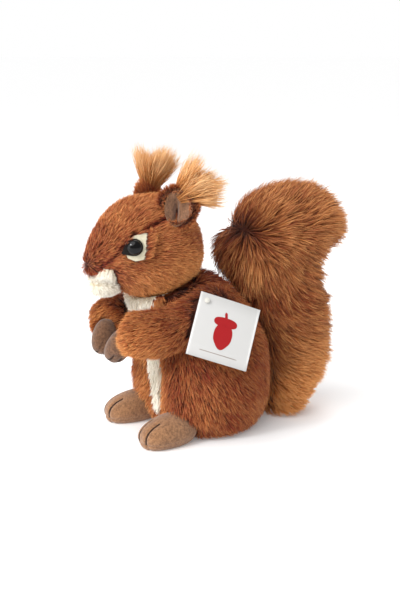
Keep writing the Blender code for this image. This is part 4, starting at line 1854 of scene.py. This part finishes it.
@dataclass
class Tail:
    """The bushy tail: long crimped fibres that whirl out of a parting on each side.

    Attributes:
        pile: How far the core lies below the fur's outside.
        fibre: Length of the fibres.
        fibres: How many fibres each of the two layers has.
        whorl: Y and Z of the parting.
        front: Z and Y of the tail's front edge, darkened with painted shade.
    """

    pile: float = 4.4 * MM
    fibre: float = 14.0 * MM
    fibres: int = 29000
    whorl: tuple[float, float] = (0.0247, 0.1147)
    front: tuple[tuple[float, float], ...] = (
        (0.0, 0.03),
        (0.04, 0.035),
        (0.08, 0.024),
        (0.105, 0.012),
        (0.125, 0.018),
    )

    def flow(self, roots: Array) -> Array:
        """Out of the whorl above, and back with a slight fall lower down.

        Args:
            roots: Where the fibres start.

        Returns:
            The combed directions.
        """
        x, y, z = roots.T
        away = np.stack([np.zeros_like(x), y - self.whorl[0], z - self.whorl[1]], axis=1)
        away = unit(away + 1e-6)
        level = np.stack([0.15 * np.sign(x), np.ones_like(y), np.full_like(z, -0.30)], axis=1)
        low = step(-z, -0.095, -0.060)[:, None]
        return away * (1 - low) + level * low

    def shade(self, roots: Array) -> Array:
        """Dark in the whorl, painted shade down the front edge and at the waist, golden over the
        curl and low down.

        Args:
            roots: Where the fibres start.

        Returns:
            Shades, from 0 for dark to 1 for pale.
        """
        _, y, z = roots.T
        mottle = 0.16 * noise(roots, 13 * MM, 6.0)
        whorl = 0.12 * bump(np.hypot(y - self.whorl[0], z - self.whorl[1]), 0.0, 0.009)
        edge = np.interp(z, *np.array(self.front).T)
        # Painted shade down the front edge, where the tail faces the head
        front = 0.36 * bump(y - edge, 0.0, 0.010) * step(-z, -0.122, -0.108)
        back = 0.18 * step(y, 0.05, 0.085)
        low = 0.85 * step(-z, -0.06, -0.015) * step(y, 0.028, 0.050)
        # Painted shade at the tail's narrow middle, beside the torso
        painted_waist_shade = 0.20 * bump(y, 0.042, 0.016) * bump(z, 0.065, 0.03)
        return 0.39 + mottle - whorl - front + back + low - painted_waist_shade

    def length(self, roots: Array) -> Array:
        """Shorter at the seat, and long where the curl hangs over the back.

        Args:
            roots: Where the fibres start.

        Returns:
            Shares of the full length.
        """
        _, y, z = roots.T
        hang = bump(z, 0.090, 0.010) * step(-y, -0.034, -0.018)
        return 0.62 + 0.38 * step(z, 0.005, 0.05) + 0.45 * hang

    def build(self) -> None:
        """Builds the tail's core and its two layers of fibres."""
        skin = Skin("tail", self.pile, voxel=2.4 * MM, relax=4)
        skin.build()
        for number, seed in ((1, 61), (2, 62)):
            Coat(
                f"tail_fur_{number}",
                skin,
                TAIL_PILE,
                TAIL_COMB,
                count=self.fibres,
                length=self.fibre,
                flow=self.flow,
                shade=self.shade,
                reach=self.length,
                room=1.6 * MM,
                seed=seed,
                slot="tail_fur",
            ).build()


@dataclass(frozen=True)
class Printed:
    """A flat printed shape on the card: a squared-off oval with an optional point.

    Attributes:
        name: The piece's name.
        ink: Its ink.
        centre: Its middle on the card, in millimetres.
        size: Its half width and half height, in millimetres.
        power: 1 for an oval, less for a squarer shape.
        point: How far its lower end is drawn out, in millimetres.
        lean: Its turn, in degrees.
    """

    name: str
    ink: Smooth
    centre: tuple[float, float]
    size: tuple[float, float]
    power: float
    point: float = 0.0
    lean: float = 0.0

    def grid(self) -> tuple[Array, Array]:
        """Fills the shape with rings: share r of the outline at each angle.

        The outline's X is the half width times the cosine to the power, with its sign,
        and its Z likewise with the sine, less the point times a high power of the sine.

        Returns:
            X and Z on the card, as rings and angles.
        """
        r = np.linspace(0, 1, 6)[:, None]
        a = np.linspace(0, 2 * pi, 40, endpoint=False)[None, :]
        c, s = np.cos(a), np.sin(a)
        tip = self.point * np.maximum(-s, 0) ** 9
        x = r * self.size[0] * np.sign(c) * abs(c) ** self.power
        z = r * (self.size[1] * np.sign(s) * abs(s) ** self.power - tip)
        t = radians(self.lean)
        return (
            (self.centre[0] + x * cos(t) - z * sin(t)) * MM,
            (self.centre[1] + x * sin(t) + z * cos(t)) * MM,
        )


# A plain acorn over a rule
PRINT = (
    Printed("print_nut", RED_INK, (0, -2.4), (5.4, 6.4), 0.85, point=1.8),
    Printed("print_cap", RED_INK, (0, 4.6), (6.8, 2.7), 0.8),
    Printed("print_stalk", RED_INK, (0.5, 8.2), (0.8, 2.0), 0.7, lean=-14),
    Printed("print_rule", GREY_INK, (0, -13.2), (11.0, 0.22), 0.3),
)


@dataclass
class SwingTag:
    """A folded square card with a plain print on it, held by a nylon pin.

    Attributes:
        side: The square's side.
        ply: Thickness of the card.
        gap: Clear space between the two plies.
        bow: How far the front ply bows out.
        hole_edge: From the pin to each of the two edges beside it.
        corner: The pin's place, in millimetres.
        look: Where the card looks.
        turn: Its turn in its own plane, in degrees.
        ink_lift: How far the ink stands off the card.
        shadow: Depth behind the card in which no fur grows.
    """

    side: float = 0.0350
    ply: float = 0.4 * MM
    gap: float = 0.4 * MM
    bow: float = 0.5 * MM
    hole_edge: float = 4.0 * MM
    corner: tuple[float, float, float] = (38.42, -16.44, 84.29)
    look: tuple[float, float, float] = (0.9327, -0.1145, 0.3420)
    turn: float = -22.0
    ink_lift: float = 0.03 * MM
    shadow: float = 6 * MM

    def matrix(self) -> Matrix:
        """The card's place: Y looks out of its front, X runs to the pin's edge.

        Returns:
            The frame, moved so that the pin's hole lies at its place.
        """
        flat = axes((0, 0, 0), self.look, (0, 0, 1))
        flat = flat @ Matrix.Rotation(radians(self.turn), 4, "Y")
        reach = self.side / 2 - self.hole_edge
        thick = self.ply + self.gap / 2
        hole = flat.to_3x3() @ Vector((reach, thick, reach))
        flat.translation = Vector(self.corner) * MM - hole
        return flat

    def front(self, x: Array) -> Array:
        """The front ply's height over the card's plane: a slight bow across X."""
        return self.ply * 2 + self.gap + self.bow * np.cos(pi * x / self.side) - self.bow

    def card(self) -> None:
        """Carries the folded profile, a narrow U, up the card's height."""
        half, across, up = self.side / 2, 24, 6
        inner, outer = self.ply / 2, 1.5 * self.ply + self.gap
        middle, radius = (inner + outer) / 2, (outer - inner) / 2
        run = np.linspace(half, -half, across)
        bend = np.linspace(0, pi, 7)[1:-1]
        x = np.concatenate([run, -half - radius * np.sin(bend) * 0.6, run[::-1]])
        front = self.front(run[::-1]) - self.ply / 2
        y = np.concatenate([np.full(across, inner), middle - radius * np.cos(bend), front])
        z = np.linspace(-half, half, up)[:, None]
        grid = np.stack(np.broadcast_arrays(x, y, z), axis=-1)
        mesh = grid_mesh("folded_card", place(grid, self.matrix()), closed=False)
        made = show("folded_card", mesh, LOOKS[CARD.name])
        wall = made.modifiers.new("ply", "SOLIDIFY")
        wall.thickness = self.ply * 0.9
        wall.offset = 0.0
        finish_piece(made, "swing_tag")

    def build(self) -> None:
        """Builds the card, lays the print on its front ply, and dresses the pin."""
        self.card()
        for shape in PRINT:
            x, z = shape.grid()
            grid = np.stack([x, self.front(x) + self.ink_lift, z], axis=-1)
            mesh = grid_mesh(shape.name, place(grid, self.matrix()))
            made = show(shape.name, mesh, LOOKS[shape.ink.name])
            finish_piece(made, None)
        repaint("tag_pin", NYLON)


def towards(azimuth: float, elevation: float) -> Vector:
    """The direction from the toy to a place round it.

    Args:
        azimuth: Degrees round from the front, to the toy's left.
        elevation: Degrees above the horizon.

    Returns:
        A unit vector.
    """
    a, e = radians(azimuth), radians(elevation)
    return Vector((sin(a) * cos(e), -cos(a) * cos(e), sin(e)))


def hang(data: bpy.types.ID, place_at: Vector, looks_back: Vector) -> bpy.types.Object:
    """Puts a lamp or a camera in the scene, looking back along a direction.

    Args:
        data: The lamp's or camera's data.
        place_at: Where it stands.
        looks_back: The direction from the toy to it.

    Returns:
        The object.
    """
    made = bpy.data.objects.new(data.name, data)
    made.location = place_at
    made.rotation_euler = (-looks_back).to_track_quat("-Z", "Y").to_euler()
    bpy.context.scene.collection.objects.link(made)
    return made


@dataclass(frozen=True)
class Lamp:
    """A soft square lamp, a metre from the toy.

    Attributes:
        name: The lamp's name.
        azimuth: Degrees round from the camera.
        elevation: Degrees above the horizon.
        size: Its side, in metres.
        power: In watts.
    """

    name: str
    azimuth: float
    elevation: float
    size: float
    power: float

    def build(self, camera: float) -> None:
        """Hangs the lamp.

        Args:
            camera: The camera's azimuth, in degrees.
        """
        data = bpy.data.lights.new(self.name, "AREA")
        data.size = self.size
        data.energy = self.power
        way = towards(camera + self.azimuth, self.elevation)
        hang(data, Vector((0, 0, 80 * MM)) + way, way)


@dataclass
class Studio:
    """A pale floor, soft lights and the camera at the photo's angle.

    Attributes:
        azimuth: The camera's, in degrees round from the front.
        elevation: The camera's, in degrees.
        distance: From the camera to the point it looks at.
        lens: Its focal length, in millimetres on a 36 mm sensor.
        look_at: The point it looks at.
        ambient: Strength of the sky's light.
        glow: How much the floor shines by itself, so that it stays white.
        floor_half: Half the floor's side.
        sky: The sky lamp's azimuth from the camera, elevation and spread, in degrees.
        sky_strength: Its strength.
        lamps: The nearer lamps.
    """

    azimuth: float = 62.0
    elevation: float = 13.5
    distance: float = 0.600
    lens: float = 62.0
    look_at: tuple[float, float, float] = (0.0, 0.0, 0.0745)
    ambient: float = 0.45
    glow: float = 0.16
    floor_half: float = 40.0
    sky: tuple[float, float, float] = (-40, 52, 62)
    sky_strength: float = 2.0
    lamps: tuple[Lamp, ...] = (
        Lamp("key", -46, 34, 0.20, 3.8),
        Lamp("fill", -66, 4, 0.8, 3.6),
        Lamp("rim", 165, 50, 0.6, 4.0),
    )

    def camera(self) -> None:
        """Places the camera."""
        data = bpy.data.cameras.new("camera")
        data.lens = self.lens
        data.sensor_width = 36.0
        way = towards(self.azimuth, self.elevation)
        place_at = Vector(self.look_at) + way * self.distance
        bpy.context.scene.camera = hang(data, place_at, way)

    def sky_lamp(self) -> None:
        """Lights the whole floor evenly from one side, as a very large soft lamp does."""
        azimuth, elevation, spread = self.sky
        data = bpy.data.lights.new("sky_lamp", "SUN")
        data.angle = radians(spread)
        data.energy = self.sky_strength
        hang(data, Vector((0, 0, 0)), towards(self.azimuth + azimuth, elevation))

    def floor(self) -> None:
        """Lays a wide white floor that fades into the background."""
        h = self.floor_half
        mesh = bpy.data.meshes.new("floor")
        corners = [(-h, -h, 0), (h, -h, 0), (h, h, 0), (-h, h, 0)]
        mesh.from_pydata(corners, [], [(0, 1, 2, 3)])
        paint = Shader("pale_floor")
        paint.feed(
            paint.principled,
            Base_Color=colour("f4f4f4"),
            Roughness=0.9,
            Emission_Color=colour("ffffff"),
            Emission_Strength=self.glow,
        )
        show("floor", mesh, paint.material)

    def world(self) -> None:
        """A white backdrop whose light on the toy is dimmer than it looks."""
        made = bpy.data.worlds.new("studio")
        made.use_nodes = True
        nodes, links = made.node_tree.nodes, made.node_tree.links
        seen = nodes.new("ShaderNodeLightPath")
        level = nodes.new("ShaderNodeMapRange")
        level.inputs["To Min"].default_value = self.ambient
        level.inputs["To Max"].default_value = 1.0
        links.new(seen.outputs["Is Camera Ray"], level.inputs["Value"])
        links.new(level.outputs["Result"], nodes["Background"].inputs["Strength"])
        nodes["Background"].inputs["Color"].default_value = (1.0, 1.0, 1.0, 1.0)
        bpy.context.scene.world = made

    def build(self) -> None:
        """Lays the floor, lights the scene and sets the camera."""
        self.floor()
        self.world()
        self.sky_lamp()
        for lamp in self.lamps:
            lamp.build(self.azimuth)
        bpy.context.scene.view_settings.view_transform = "Standard"
        self.camera()


def main() -> None:
    """Builds the toy piece by piece."""
    logging.basicConfig(level=logging.INFO, format="%(name)s: %(message)s")
    parts = [Studio(), Body(), Head(), Tail(), SwingTag()]
    for side in Side:
        parts += [Ear(side), Eye(side), Arm(side), Foot(side)]
    for part in parts:
        part.build()
        LOG.info("built %s", type(part).__name__)


if __name__ == "__main__":
    main()
